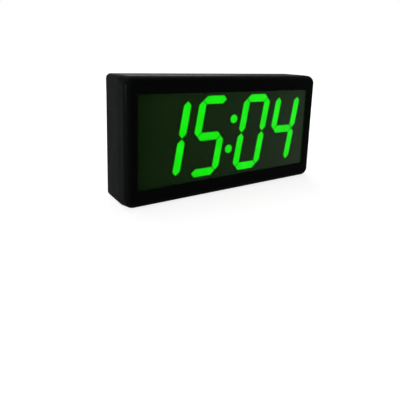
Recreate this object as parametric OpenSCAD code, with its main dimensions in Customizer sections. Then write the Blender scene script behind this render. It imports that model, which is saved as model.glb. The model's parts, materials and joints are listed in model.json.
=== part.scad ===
// LED wall clock: four green digits behind a tinted window, a snap-together case with
// a deep cable recess and two keyholes at the back, and a network lead in its socket.
// Millimetres. +Z is up, the digits face -Y, and the origin is the middle of the base.

/* [Case] */
// Width of the case
body_w = 310; // [304:1:340]
// Height of the case
body_h = 158; // [156:1:180]
// Depth of the case, front to back
body_d = 64; // [62:1:80]
// Radius of the case's corners at the seam and behind it
corner_r = 6.5; // [5:0.5:8]
// Radius of the front's corners
front_corner_r = 12; // [10:0.5:14]
// Radius of the rolled front edge
edge_r = 8.5; // [6:0.5:9]
// Radius of the rear edge
rear_edge_r = 2.5; // [1.5:0.5:4]
// Wall thickness of both case mouldings
wall = 2.5; // [2:0.1:3]
// Depth of the front frame, from its face to the seam
frame_d = 23; // [22:0.5:26]
// Width of the seam line between frame and cover
seam_gap = 0.5; // [0.3:0.1:0.8]
// Height of the tongue that centres the cover in the frame
tongue_l = 2; // [1:0.5:3]
// Thickness of the tongue
tongue_t = 1.2; // [0.8:0.1:1.5]

/* [Window] */
// Thickness of the frame's face around the window
face_t = 2.7; // [2:0.1:3.5]
// Width of the frame's face beside the window
bezel_side = 15; // [13:0.5:17]
// Width of the frame's face above and below the window
bezel_top = 20.8; // [20:0.1:22]
// How far the lens laps behind the face on each side
lens_lap = 5; // [4:0.5:6]
// Thickness of the tinted lens
lens_t = 2; // [1.5:0.1:3]
// Thickness of the tape that holds the lens
tape_t = 0.5; // [0.3:0.1:1]
// Width of the tape
tape_w = 4; // [2:0.5:4]
// Space between the lens and the segments
lens_gap = 1.8; // [1:0.1:3]

/* [Digits] */
// Room between the digits and the window's top and bottom
digit_margin = 4.85; // [4:0.05:6]
// Room in the window beside the row of digits, both sides together
row_margin = 27.4; // [26:0.1:32]
// Space between the middles of neighbouring digits' upright segments
digit_space = 22.7; // [20:0.1:25]
// Lean of the digits, in degrees
slant = 10; // [0:1:12]
// Width of a segment
segment_t = 10.7; // [8:0.1:11]
// Wall between neighbouring segments
web_t = 0.7; // [0.5:0.1:1.5]
// Extra room for the colon between the middle digits
colon_room = 12.6; // [11:0.1:15]
// Diameter of a colon dot
dot_d = 11.8; // [8:0.1:12]
// Height of a colon dot above or below the middle
dot_rise = 20.6; // [15:0.1:25]
// Thickness of the diffuser in each segment
diffuser_t = 1.6; // [1:0.1:2.5]
// Width of the ledge that carries a diffuser
diffuser_ledge = 0.9; // [0.5:0.1:1.5]
// Depth of the light box behind the digits
reflector_d = 8; // [6:0.5:9]
// Margin of the light box round the window
reflector_rim = 1; // [0.5:0.5:2]

/* [Boards] */
// Thickness of the circuit boards
board_t = 1.6; // [1:0.2:2]
// Margin of the display board beyond its screws
board_rim = 4.5; // [4:0.5:5]
// Space between the lens and the screw posts
post_gap = 0.8; // [0.5:0.1:1.2]
// Distance of the outer display screws from the ends of the display board
post_end = 15; // [7:0.5:30]
// Diameter of the screw posts in the frame
post_d = 7; // [6:0.5:7]
// Diameter of a board screw
screw_d = 2.9; // [2.2:0.1:3]
// Length of a board screw under its head
screw_l = 9; // [7:0.5:10]
// Width of the control board
control_w = 70; // [66:1:72]
// Height of the control board
control_h = 100; // [96:1:104]
// Distance of the control board's lower edge below the socket's middle
control_drop = 48; // [46:1:50]
// Distance of the control board's screws from its edges
control_in = 7; // [6:0.5:8]
// Length of the ribbon plug over its header
ribbon_plug_l = 6; // [4:0.5:7]
// Width of the ribbon cable
ribbon_w = 10; // [6:1:12]
// Thickness of the ribbon cable
ribbon_t = 1; // [0.8:0.1:1.2]
// Straight stretch of the ribbon cable at each plug
ribbon_straight = 0.6; // [0.5:0.1:1]

/* [Cable recess] */
// Width of the recess
recess_w = 82; // [80:1:84]
// Depth of the recess
recess_d = 36; // [34:0.5:37]
// Radius of the recess's upper corners
recess_r = 14; // [8:1:20]
// Wall left above the recess
recess_roof = 3.3; // [2.5:0.1:5]
// Width of the slot low in the recess floor
slot_w = 11.5; // [8:0.5:16]
// Height of that slot
slot_h = 11; // [6:0.5:14]
// Height of the slot's middle
slot_z = 18.5; // [16:0.5:24]
// Width of the prying notch in the lower lip
pry_w = 3.5; // [2:0.5:6]
// Height of the prying notch
pry_h = 1.5; // [0.5:0.1:1.8]

/* [Keyholes] */
// Distance between the two keyholes
key_span = 254; // [246:1:258]
// Height of the keyholes' round ends
key_z = 78; // [70:1:90]
// Diameter of the round ends
key_d = 11.4; // [9:0.1:12]
// Width of the keyhole slots
key_slot_w = 5.2; // [4.5:0.1:6]
// How far the slots reach above the round ends' middles
key_rise = 13; // [10:0.5:16]
// Depth of the pocket behind each keyhole
pocket_d = 9; // [6:0.5:10]
// Space round the keyhole inside the pocket
pocket_rim = 2; // [1:0.5:3]
// Wall thickness of the pocket
pocket_t = 1.5; // [1:0.1:2]

/* [Snap hooks] */
// Width of the hooks near the corners
hook_wide = 6; // [4:0.5:8]
// Width of the other hooks
hook_slim = 2.6; // [2:0.1:4]
// Distance of the corner hooks from the sides of the case
hook_side_in = 17; // [15:0.5:20]
// Distance of the inner top and bottom hooks from the middle
hook_mid_x = 69; // [60:1:80]
// Distance of the side hooks above and below the middle
hook_mid_z = 35; // [25:1:40]
// Thickness of a hook's arm
hook_t = 1.6; // [1.2:0.1:2]
// Height of the catch that a hook holds
catch_h = 1.2; // [0.8:0.1:1.5]
// Reach inward of the mould slots over the top and bottom hooks
slot_n = 4; // [3.5:0.1:5]
// Reach inward of the mould slots over the side hooks
slot_n_side = 5.6; // [4:0.1:6]

/* [Socket and buttons] */
// Height of the network socket's middle
jack_z = 86; // [82:0.5:90]
// Width of the socket
jack_w = 16; // [15:0.1:17]
// Roof of the socket over the plug's latch
jack_roof = 0.6; // [0.4:0.1:1.5]
// Length of the socket
jack_l = 16; // [15:0.5:20]
// Floor of the socket under the plug
jack_floor = 1.2; // [1:0.1:1.5]
// Height of the red button above the socket's middle
red_rise = 15; // [14:0.5:18]
// Diameter of the red button
red_d = 5.8; // [4:0.1:6.5]
// Height of the grey button above the socket's middle
grey_rise = 36; // [30:0.5:37]
// Diameter of the grey button
grey_d = 6.4; // [4:0.1:6.5]
// How far the buttons stand out of the recess wall
button_proud = 1.8; // [1.6:0.1:3]
// Travel of the buttons
button_travel = 1.2; // [0.5:0.1:1.4]

/* [Lead] */
// Width of the plug
plug_w = 11.68; // [11.5:0.01:11.8]
// Thickness of the plug without its latch
plug_h = 8.3; // [8:0.1:8.4]
// Length of the plug up to its boot
plug_l = 25; // [23:0.5:26]
// How far the plug goes into the socket
plug_in = 10; // [9:0.5:10.5]
// Thickness of the plug's metal shield
shield_t = 0.3; // [0.2:0.05:0.4]
// Rise of the latch at rest, in degrees
latch_rise = 7; // [6:0.5:7]
// Thickness of the latch
latch_t = 1; // [0.8:0.1:1.1]
// Length of the boot's square part
boot_l = 10.5; // [8:0.5:12]
// Thickness of the boot
boot_h = 9; // [8.4:0.1:10]
// Length of the ribbed strain relief
relief_l = 9.2; // [7:0.1:12]
// Number of ribs on the strain relief
relief_ribs = 4; // [3:1:5]
// Diameter of the strain relief at the boot
relief_d = 8.3; // [7:0.1:8.8]
// Diameter of the cable
cord_d = 5.5; // [5:0.1:5.6]
// Turns of the coil
coil_turns = 3; // [2:1:4]
// Radius of the coil's outer turns
coil_r = 32; // [31.5:0.5:33]
// Space between neighbouring turns
coil_gap = 0.6; // [0.5:0.1:1]
// Width of the tie
tie_w = 12; // [6:1:16]
// Thickness of the tie
tie_t = 0.5; // [0.4:0.1:0.8]

/* [Hidden] */
$fn = 48;

// Clearance of a sliding or seated fit, on each side
fit = 0.1;
// Clearance between pieces that move past each other
run_gap = 0.3;
// Overlap that fuses two shapes of one moulding
fuse = 0.5;
// Overshoot of a cut
over = 1;
// Sides of the circles in a rolled edge
roll_fn = 40;

// Window and digits
mid_z = body_h / 2;
window_w = body_w - 2 * bezel_side;
window_h = body_h - 2 * bezel_top;
window_z = mid_z - window_h / 2;
bar_span = window_h - segment_t - 2 * digit_margin;
digit_pitch = (window_w - colon_room - row_margin) / 4;
upright_span = digit_pitch - digit_space;

// Network socket
jack_room_w = plug_w + 2 * run_gap;
jack_room_h = plug_h + 2 * run_gap;
jack_room_l = plug_in + 1.5;
latch_room_h = 2.3;
jack_h = jack_floor + jack_room_h + latch_room_h + jack_roof;
red_z = jack_z + red_rise;
grey_z = jack_z + grey_rise;

// Depths from the front face
front_y = -body_d / 2;
lens_y = face_t + tape_t;
segment_y = lens_y + lens_t + lens_gap;
display_y = segment_y + reflector_d;
display_back = display_y + board_t;
cover_in = body_d - wall;
recess_y = body_d - recess_d;
control_back = cover_in - run_gap / 2 - jack_h;
control_y = control_back - board_t;

// Places of the socket, the plug and the control board beside the recess
recess_x = -recess_w / 2;
wall_x = recess_x - wall;
jack_x = wall_x - run_gap;
axis_y = control_back + jack_floor + jack_room_h / 2;
nose_x = jack_x - plug_in;
plug_total = plug_l + boot_l + relief_l;
control_x = wall_x - run_gap - fuse;
control_z = jack_z - control_drop;
// Place on the control board, counted from its lower corner at the recess
function on_control(p) = [control_x - p.x, control_z + p.y];

// Place on the back of the case, y counted from the front face
module at(x, y, z) translate([x, front_y + y, z]) children();

// Flat outlines

// Rectangle with round corners, centred across, standing on the axis
module rounded(w, h, r) {
    translate([r - w / 2, 0]) square([w - 2 * r, h]);
    translate([-w / 2, r]) square([w, h - 2 * r]);
    for (x = [r - w / 2, w / 2 - r], y = [r, h - r]) translate([x, y]) circle(r = r);
}

// Upright plate of an outline, its front at y = 0
module upright(d) translate([0, d, 0]) rotate([90, 0, 0]) linear_extrude(d) children();

// Profile in the y-z plane drawn out along x, centred
module along_x(w) translate([-w / 2, 0, 0]) rotate([90, 0, 90]) linear_extrude(w) children();

// Round bar along y from y = 0
module bar_y(d, l) rotate([-90, 0, 0]) cylinder(d = d, h = l);

// Round bar along x from x = 0
module bar_x(d, l) rotate([0, 90, 0]) cylinder(d = d, h = l);

// Block with a rolled front edge, whose corners go from one radius at the front to another at a given depth
module rolled_block(w, h, d, r, roll, end_r, bend) {
    hull() {
        for (x = [r - w / 2, w / 2 - r], z = [r, h - r])
            translate([x, roll, z]) rotate([90, 0, 0])
                rotate_extrude($fn = roll_fn) intersection() {
                    translate([r - roll, 0]) circle(r = roll, $fn = roll_fn);
                    translate([0, -roll]) square([r, 2 * roll]);
                }
        translate([0, bend, 0]) upright(d - bend) rounded(w, h, end_r, $fn = roll_fn);
    }
}

// Snap hooks

hook_gap = 0.3;
hook_root_y = 11.5;
hook_root_l = 6;
catch_y = frame_d + tongue_l + 1;
catch_t = 1.7;
barb_y = catch_y + catch_t + hook_gap;
barb_l = 3;
arm_n = catch_h + hook_gap;

// Puts its children at each hook: x along the wall, z inward from the wall's inner face
module at_hooks() {
    for (s = [-1, 1], m = [0, 1]) translate([0, 0, m * body_h]) mirror([0, 0, m]) {
        let ($hook_w = hook_wide, $slot_n = slot_n)
            at(s * (body_w / 2 - hook_side_in), 0, wall) children();
        let ($hook_w = hook_slim, $slot_n = slot_n)
            at(s * hook_mid_x, 0, wall) children();
    }
    for (s = [-1, 1], m = [0, 1]) mirror([m, 0, 0])
        let ($hook_w = hook_slim, $slot_n = slot_n_side)
            at(wall - body_w / 2, 0, mid_z + s * hook_mid_z) rotate([0, 90, 0]) children();
}

module hook_arm() along_x($hook_w) polygon([
    [hook_root_y, -fuse],
    [hook_root_y, arm_n + hook_t],
    [barb_y + barb_l, arm_n + hook_t],
    [barb_y + barb_l, arm_n],
    [barb_y + barb_l / 4, hook_gap],
    [barb_y, hook_gap],
    [barb_y, arm_n],
    [hook_root_y + hook_root_l, arm_n],
    [hook_root_y + hook_root_l, -fuse]
]);

// Front frame with its window, screw posts and snap hooks

display_w = window_w + 2 * lens_lap;
post_in = bezel_top - lens_lap - post_gap - post_d / 2;
post_x = display_w / 2 - post_end;
// Posts along the top and at the lower ends, with none behind the recess slot
post_places = [for (x = [-post_x, 0, post_x], z = [post_in, body_h - post_in]) if (x != 0 || z > post_in) [x, z]];
// Depth at which the front's corners have gone over into the rear ones
corner_y = frame_d - tongue_l - 1;

module front_frame() color("#161819") {
    difference() {
        union() {
            difference() {
                at(0, 0, 0) rolled_block(body_w, body_h, frame_d - seam_gap, front_corner_r, edge_r,
                    corner_r, corner_y);
                at(0, face_t, wall) rolled_block(body_w - 2 * wall, body_h - 2 * wall, frame_d,
                    front_corner_r - wall, edge_r - wall, corner_r - wall, corner_y - face_t);
                at(-window_w / 2, -over, window_z) cube([window_w, face_t + 2 * over, window_h]);
            }
            for (p = post_places) at(p.x, face_t - fuse, p.y) bar_y(post_d, display_y - face_t + fuse);
            at_hooks() hook_arm();
        }
        for (p = post_places) at(p.x, display_y - screw_l, p.y) bar_y(screw_d + 2 * fit, screw_l + over);
    }
}

// Tinted lens and its tape

lens_w = window_w + 2 * lens_lap;
lens_h = window_h + 2 * lens_lap;

module lens_tape() color("#202224") at(0, face_t, window_z - lens_lap) difference() {
    upright(tape_t) translate([-lens_w / 2, 0]) square([lens_w, lens_h]);
    translate([tape_w - lens_w / 2, -over, tape_w])
        cube([lens_w - 2 * tape_w, tape_t + 2 * over, lens_h - 2 * tape_w]);
}

module window_lens() color("#243a22", 0.6) at(0, lens_y, window_z - lens_lap)
    upright(lens_t) rounded(lens_w, lens_h, 1.5);

// Seven-segment digits

digit_x = [for (i = [0:3]) (i - 1.5) * digit_pitch + (i < 2 ? -1 : 1) * colon_room / 2];
half_bar = bar_span / 2;
// Start and direction of segments a to g from the middle of a digit
segment_start = [
    [-upright_span / 2, half_bar], [upright_span / 2, 0], [upright_span / 2, -half_bar],
    [-upright_span / 2, -half_bar], [-upright_span / 2, -half_bar], [-upright_span / 2, 0],
    [-upright_span / 2, 0]
];
segment_turn = [0, 90, 90, 0, 90, 90, 0];
segment_len = [for (a = segment_turn) a == 0 ? upright_span : half_bar];
// Segments that are lit in each digit, as 15:04
lit = ["bc", "acdfg", "abcdef", "bcfg"];
function is_lit(d, k) = len(search("abcdefg"[k], lit[d])) > 0;

function lean(p) = [p.x + p.y * tan(slant), p.y];
// Outline of segment k drawn in by a margin on every side
function segment_points(k, inset) =
    let (
        half_t = segment_t / 2 - inset,
        tip = web_t / sqrt(2) + inset * sqrt(2),
        l = segment_len[k],
        a = segment_turn[k],
        flat = [
            [tip, 0], [tip + half_t, half_t], [l - tip - half_t, half_t],
            [l - tip, 0], [l - tip - half_t, -half_t], [tip + half_t, -half_t]
        ]
    )
    [for (p = flat) lean(segment_start[k]
        + [p.x * cos(a) - p.y * sin(a), p.x * sin(a) + p.y * cos(a)])];
// Point part-way along segment k of digit d
function segment_at(d, k, part) = [digit_x[d], mid_z]
    + lean(segment_start[k] + part * segment_len[k] * [cos(segment_turn[k]), sin(segment_turn[k])]);
dot_places = [for (s = [-1, 1]) [0, mid_z] + lean([0, s * dot_rise])];

module segment_plate(d, k, inset, t) at(digit_x[d], 0, mid_z) upright(t) polygon(segment_points(k, inset));

module lit_segments(d) color("#19ff2b")
    for (k = [0:6]) if (is_lit(d, k)) translate([0, segment_y, 0]) segment_plate(d, k, fit, diffuser_t);

module digit_1_lit() lit_segments(0);
module digit_2_lit() lit_segments(1);
module digit_3_lit() lit_segments(2);
module digit_4_lit() lit_segments(3);

module unlit_segments() color("#2c352b")
    for (d = [0:3], k = [0:6]) if (!is_lit(d, k))
        translate([0, segment_y, 0]) segment_plate(d, k, fit, diffuser_t);

module colon_dots() color("#19ff2b")
    for (p = dot_places) at(p.x, segment_y, p.y) bar_y(dot_d - 2 * fit, diffuser_t);

// Light box: one well for each segment, with a ledge under its diffuser

box_w = window_w + 2 * reflector_rim;
box_h = window_h + 2 * reflector_rim;
peg_d = 3;
peg_places = [for (x = [-1, 1], z = [-1, 1])
    [x * (box_w / 2 - peg_d), mid_z + z * (box_h / 2 - peg_d)]];

module light_box() color("#23271f") difference() {
    union() {
        at(-box_w / 2, segment_y, mid_z - box_h / 2) cube([box_w, reflector_d, box_h]);
        for (p = peg_places) at(p.x, display_y - fuse, p.y) bar_y(peg_d, board_t + 2 * fuse);
    }
    for (d = [0:3], k = [0:6]) {
        translate([0, segment_y - over, 0]) segment_plate(d, k, 0, diffuser_t + over);
        translate([0, segment_y, 0]) segment_plate(d, k, diffuser_ledge, reflector_d + over);
    }
    for (p = dot_places) {
        at(p.x, segment_y - over, p.y) bar_y(dot_d, diffuser_t + over);
        at(p.x, segment_y, p.y) bar_y(dot_d - 2 * diffuser_ledge, reflector_d + over);
    }
}

led_size = [2.8, 1.9, 3.5];
// Places of a segment's two lamps, as shares of its length
led_shares = [0.32, 0.68];

module led(p) at(p.x - led_size.x / 2, display_y - led_size.y, p.y - led_size.z / 2) cube(led_size);

module segment_leds() color("#e6ecd0") {
    for (d = [0:3], k = [0:6], part = led_shares) led(segment_at(d, k, part));
    for (p = dot_places) led(p);
}

// Display board, its screws and chips

display_z = post_in - board_rim;

// Notch in the board behind the recess slot: its room beside the slot, and the board that shows above it
notch_side = 1.5;
notch_show = 1.6;

module display_board() color("#1f6b3a") difference() {
    at(0, display_y, display_z) upright(board_t) rounded(display_w, body_h - 2 * display_z, 3);
    for (p = post_places) at(p.x, display_y - over, p.y) bar_y(screw_d + 2 * run_gap, board_t + 2 * over);
    for (p = peg_places) at(p.x, display_y - over, p.y) bar_y(peg_d + 2 * fit, board_t + 2 * over);
    at(-slot_w / 2 - notch_side, display_y - over, display_z - over)
        cube([slot_w + 2 * notch_side, board_t + 2 * over, slot_z + slot_h / 2 - notch_show - display_z + over]);
}

screw_head_d = 5.6;
screw_head_h = 2;
screw_bit_d = 1.6;
// Depth of the screw holes beyond the screws
screw_spare = 1;

// Pan-head screw pointing along -y, the underside of its head at y = 0
module board_screw() difference() {
    union() {
        translate([0, screw_spare - screw_l, 0]) bar_y(screw_d, screw_l - screw_spare + fuse);
        bar_y(screw_head_d, screw_head_h);
    }
    for (a = [0, 90]) rotate([0, a, 0])
        translate([-screw_bit_d, screw_head_h / 2, -screw_bit_d / 6])
            cube([2 * screw_bit_d, screw_head_h, screw_bit_d / 3]);
}

module display_screws() color("silver") for (p = post_places) at(p.x, display_back, p.y) board_screw();

leg_size = [1, 0.6, 0.4];
leg_root = 0.1;
chip_lift = 0.2;

// Gull-wing chip lying on the plane y = 0, its legs along its two long sides
module flat_chip(size, legs, pitch) {
    translate([-size.x / 2, chip_lift, -size.z / 2]) cube(size);
    for (i = [0:legs - 1], s = [0, 1]) mirror([s, 0, 0])
        translate([size.x / 2 - leg_root, 0, (i - (legs - 1) / 2) * pitch - leg_size.z / 2]) cube(leg_size);
}

driver_size = [6, 1.7, 10];
driver_legs = 7;
driver_pitch = 1.27;

module driver_chips() color("#1b1b1d")
    for (x = digit_x) at(x, display_back, mid_z) flat_chip(driver_size, driver_legs, driver_pitch);

// Ribbon between the boards

ribbon_on = [36, 66];
ribbon_drop = 46;
ribbon_x = on_control(ribbon_on).x;
ribbon_high_z = on_control(ribbon_on).y;
ribbon_low_z = ribbon_high_z - ribbon_drop;
header_w = 13;
header_t = 5;
header_l = 2.5;
plug_face_low = display_back + header_l + ribbon_plug_l;
plug_face_high = control_y - header_l - ribbon_plug_l;
ribbon_mid_y = (plug_face_low + plug_face_high) / 2;
ribbon_r = (plug_face_high - plug_face_low) / 2 - ribbon_straight;

module header_block(y, z, l) at(ribbon_x - header_w / 2, y, z - header_t / 2) cube([header_w, l, header_t]);

module ribbon_headers() color("#141414") {
    header_block(display_back, ribbon_low_z, header_l);
    header_block(control_y - header_l, ribbon_high_z, header_l);
}

module ribbon_plugs() color("#2a2a2c") {
    header_block(display_back + header_l, ribbon_low_z, ribbon_plug_l);
    header_block(control_y - header_l - ribbon_plug_l, ribbon_high_z, ribbon_plug_l);
}

// Quarter of a flat bend about the origin, in the quadrant where both are positive
module bend(r, t) intersection() {
    difference() {
        circle(r = r + t / 2);
        circle(r = r - t / 2);
    }
    square(r + t);
}

module ribbon_cable() color("#8b8f95") at(ribbon_x, 0, 0) along_x(ribbon_w) {
    half_t = ribbon_t / 2;
    translate([plug_face_low, ribbon_low_z - half_t])
        square([ribbon_mid_y - ribbon_r - plug_face_low, ribbon_t]);
    translate([ribbon_mid_y - ribbon_r, ribbon_low_z + ribbon_r]) mirror([0, 1]) bend(ribbon_r, ribbon_t);
    translate([ribbon_mid_y - half_t, ribbon_low_z + ribbon_r])
        square([ribbon_t, ribbon_high_z - ribbon_low_z - 2 * ribbon_r]);
    translate([ribbon_mid_y + ribbon_r, ribbon_high_z - ribbon_r]) mirror([1, 0]) bend(ribbon_r, ribbon_t);
    translate([ribbon_mid_y + ribbon_r, ribbon_high_z - half_t])
        square([plug_face_high - ribbon_mid_y - ribbon_r, ribbon_t]);
}

// Rear cover

control_places = [for (x = [control_x - control_w + control_in, control_x - control_in],
    z = [control_z + control_in, control_z + control_h - control_in]) [x, z]];
control_post_d = 6.4;

// Outline of the recess, grown by a margin at the sides and top
module recess_outline(grow) {
    w = recess_w + 2 * grow;
    top = body_h - recess_roof + grow;
    r = recess_r + grow;
    translate([-w / 2, wall]) square([w, top - wall - r]);
    translate([r - w / 2, wall]) square([w - 2 * r, top - wall]);
    for (s = [-1, 1]) translate([s * (w / 2 - r), top - r]) circle(r = r);
}

// Keyhole opening upward, grown by a margin
module keyhole(grow) {
    circle(d = key_d + 2 * grow);
    translate([-key_slot_w / 2 - grow, 0]) square([key_slot_w + 2 * grow, key_rise - key_slot_w / 2]);
    translate([0, key_rise - key_slot_w / 2]) circle(d = key_slot_w + 2 * grow);
}

module at_keyholes(y) for (s = [-1, 1]) at(s * key_span / 2, y, key_z) children();

// Box round a keyhole pocket, grown by a margin
module pocket_block(grow, d) {
    w = key_d + 2 * (pocket_rim + grow);
    translate([-w / 2, 0, -w / 2]) cube([w, d, w / 2 + key_rise + pocket_rim + grow]);
}

// Tongue round the seam, with gaps for the hooks
module seam_tongue() difference() {
    union() {
        seam_ring(frame_d - tongue_l, 2 * tongue_l, fit);
        seam_ring(frame_d, tongue_l, -fuse);
    }
    at_hooks() translate([-$hook_w / 2 - hook_gap, 0, -over])
        cube([$hook_w + 2 * hook_gap, cover_in, arm_n + hook_t + over + hook_gap]);
}

// Ring along the inner wall, from a margin inside it to the tongue's inner side
module seam_ring(y, d, margin) {
    outer_in = wall + margin;
    inner_in = wall + fit + tongue_t;
    difference() {
        at(0, y, outer_in) upright(d)
            rounded(body_w - 2 * outer_in, body_h - 2 * outer_in, corner_r - outer_in);
        at(0, y - over, inner_in) upright(d + 2 * over)
            rounded(body_w - 2 * inner_in, body_h - 2 * inner_in, corner_r - inner_in);
    }
}

// How much tighter the cover's corners are at its back than at the seam
corner_draft = 0.3;

module cover_shell() difference() {
    mirror([0, 1, 0]) at(0, 0, 0) rolled_block(body_w, body_h, body_d - frame_d, corner_r - corner_draft,
        rear_edge_r, corner_r, body_d - frame_d - over);
    at(0, frame_d - over, wall) upright(cover_in - frame_d + over)
        rounded(body_w - 2 * wall, body_h - 2 * wall, corner_r - wall);
}

// Holes through the recess's left wall for the plug and the two buttons
module recess_wall_holes() {
    at(wall_x - over, axis_y - jack_room_h / 2, jack_z - jack_room_w / 2)
        cube([wall + 2 * over, jack_room_h + latch_room_h + 2 * run_gap, jack_room_w]);
    at(wall_x - over, axis_y, red_z) bar_x(red_d + 2 * run_gap, wall + 2 * over);
    at(wall_x - over, axis_y, grey_z) bar_x(grey_d + 2 * run_gap, wall + 2 * over);
}

module rear_cover() color("#1a1c1d") difference() {
    union() {
        cover_shell();
        seam_tongue();
        at_hooks() along_x($hook_w) translate([catch_y, -fuse]) square([catch_t, catch_h + fuse]);
        at(0, recess_y - wall, 0) upright(cover_in - recess_y + wall + fuse) recess_outline(wall);
        at_keyholes(cover_in - pocket_d - pocket_t) pocket_block(pocket_t, pocket_d + pocket_t + fuse);
        for (p = control_places) at(p.x, control_back, p.y) bar_y(control_post_d, jack_h + fuse);
    }
    at(0, recess_y, 0) upright(recess_d + over) recess_outline(0);
    at(-slot_w / 2, recess_y - wall - over, slot_z - slot_h / 2) cube([slot_w, wall + 2 * over, slot_h]);
    at(-pry_w / 2, body_d - wall, wall - pry_h) cube([pry_w, wall + over, pry_h + over]);
    at_keyholes(cover_in - pocket_d) pocket_block(0, pocket_d);
    at_keyholes(cover_in - over) upright(wall + 2 * over) keyhole(0);
    for (p = control_places) at(p.x, control_back - over, p.y) bar_y(screw_d + 2 * fit, screw_l + over);
    at_hooks() translate([-$hook_w / 2 - hook_gap, cover_in - over, 0])
        cube([$hook_w + 2 * hook_gap, wall + 2 * over, $slot_n]);
    recess_wall_holes();
}

// Control board and what it carries

module control_board() color("#1f6b3a") difference() {
    at(control_x - control_w, control_y, control_z) cube([control_w, board_t, control_h]);
    for (p = control_places) at(p.x, control_y - over, p.y) bar_y(screw_d + 2 * run_gap, board_t + 2 * over);
}

module control_screws() color("silver")
    for (p = control_places) at(p.x, control_y, p.y) rotate([0, 0, 180]) board_screw();

transformer_on = [34, 26];
transformer_at = on_control(transformer_on);
transformer_size = [15, 11, 14];
bobbin_size = [10, 8, 18];

module power_transformer() color("#2f3033") {
    c = transformer_at;
    at(c.x - transformer_size.x / 2, control_back, c.y - transformer_size.z / 2) cube(transformer_size);
    at(c.x - bobbin_size.x / 2, control_back, c.y - bobbin_size.z / 2) cube(bobbin_size);
}

capacitor_d = 10;
capacitor_pitch = 13;
capacitor_on = [53, 20];
capacitor_places = [for (i = [0:2]) on_control(capacitor_on + [0, i * capacitor_pitch])];
capacitor_h = 11.5;
capacitor_lip = 0.8;
vent_w = 0.4;
vent_d = 0.3;

// Can standing on the plane y = 0, with a rolled groove at its foot and a scored vent on top
module capacitor() difference() {
    bar_y(capacitor_d, capacitor_h);
    translate([0, capacitor_lip, 0]) rotate([-90, 0, 0]) rotate_extrude()
        translate([capacitor_d / 2, capacitor_lip]) circle(r = capacitor_lip / 2);
    for (a = [0, 90]) rotate([0, a, 0])
        translate([-capacitor_d / 4, capacitor_h - vent_d, -vent_w / 2])
            cube([capacitor_d / 2, over, vent_w]);
}

module storage_capacitors() color("#24324c")
    for (p = capacitor_places) at(p.x, control_back, p.y) capacitor();

processor_on = [34, 74];
processor_at = on_control(processor_on);
processor_size = [11, 1.4, 11];
processor_legs = 12;
processor_pitch = 0.8;

module processor_chip() color("#1b1b1d") at(processor_at.x, control_back, processor_at.y)
    flat_chip(processor_size, processor_legs, processor_pitch);

crystal_on = [19, 74];
crystal_at = on_control(crystal_on);
crystal_d = 4.6;
crystal_l = 6.4;
crystal_h = 3.6;
crystal_base_t = 0.6;
crystal_rim = 0.5;

module crystal_outline(grow) {
    for (s = [-1, 1]) translate([0, s * crystal_l / 2]) circle(d = crystal_d + 2 * grow);
    translate([-crystal_d / 2 - grow, -crystal_l / 2]) square([crystal_d + 2 * grow, crystal_l]);
}

module clock_crystal() color("silver") at(crystal_at.x, control_back, crystal_at.y) {
    upright(crystal_base_t) crystal_outline(crystal_rim);
    upright(crystal_h) crystal_outline(0);
}

cell_on = [53, 70];
cell_at = on_control(cell_on);
cell_d = 20;
cell_h = 3.2;
cell_rim = 1;
cell_step = 0.4;
holder_t = 1.2;

module battery_holder() color("#151515") at(cell_at.x, control_back, cell_at.y) difference() {
    bar_y(cell_d + 2 * (fit + holder_t), holder_t + cell_h * 0.8);
    translate([0, holder_t, 0]) bar_y(cell_d + 2 * fit, cell_h);
    translate([-cell_d, holder_t, -cell_d / 4]) cube([cell_d, cell_h, cell_d / 2]);
}

module backup_cell() color("silver") at(cell_at.x, control_back + holder_t, cell_at.y) {
    bar_y(cell_d, cell_h - cell_step);
    bar_y(cell_d - 2 * cell_rim, cell_h);
}

// Network socket: room for the plug, a slot for its latch and a lip that the latch holds

latch_slot_w = 7.2;
latch_lip_w = 4.6;
latch_lip_t = 1.5;

module network_jack() color("#a9adb0") difference() {
    at(jack_x - jack_l, control_back, jack_z - jack_w / 2) cube([jack_l, jack_h, jack_w]);
    at(jack_x - jack_room_l, axis_y - jack_room_h / 2, jack_z - jack_room_w / 2)
        cube([jack_room_l + over, jack_room_h, jack_room_w]);
    at(jack_x - jack_room_l, axis_y, jack_z - latch_slot_w / 2)
        cube([jack_room_l - latch_lip_t, jack_room_h / 2 + latch_room_h, latch_slot_w]);
    at(jack_x - jack_room_l, axis_y, jack_z - latch_lip_w / 2)
        cube([jack_room_l + over, jack_room_h / 2 + latch_room_h, latch_lip_w]);
}

contact_count = 8;
contact_pitch = 1.02;
contact_d = 0.45;
contact_reach = 3;
contact_y = plug_h / 2 - contact_d;
contact_rows = [for (i = [0:contact_count - 1]) (i - (contact_count - 1) / 2) * contact_pitch];

module jack_contacts() color("gold") for (z = contact_rows)
    at(jack_x - jack_room_l, axis_y - contact_y, jack_z + z)
        bar_x(contact_d, jack_room_l - plug_in + contact_reach);

// Push buttons: a cap with a collar behind the wall and a stem in its switch

switch_l = 8;
switch_w = 7.4;
switch_h = 9.8;
collar_t = 1;
collar_rim = 0.7;
stem_d = 2.4;
stem_l = 3;
// Inner end of the cap, clear of the switch when pressed
cap_end_x = wall_x - run_gap - collar_t;
switch_x = cap_end_x - button_travel - run_gap;

module push_switch(z) color("#151515") difference() {
    at(switch_x - switch_l, control_back, z - switch_w / 2) cube([switch_l, switch_h, switch_w]);
    at(switch_x - stem_l - button_travel - run_gap, axis_y, z)
        bar_x(stem_d + 2 * fit, stem_l + button_travel + run_gap + over);
}

module push_button(z, d) at(0, axis_y, z) {
    translate([cap_end_x, 0, 0]) bar_x(d, recess_x + button_proud - cap_end_x);
    translate([cap_end_x, 0, 0]) bar_x(d + 2 * (run_gap + collar_rim), collar_t);
    translate([switch_x - stem_l, 0, 0]) bar_x(stem_d, cap_end_x - switch_x + stem_l + fuse);
}

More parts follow.
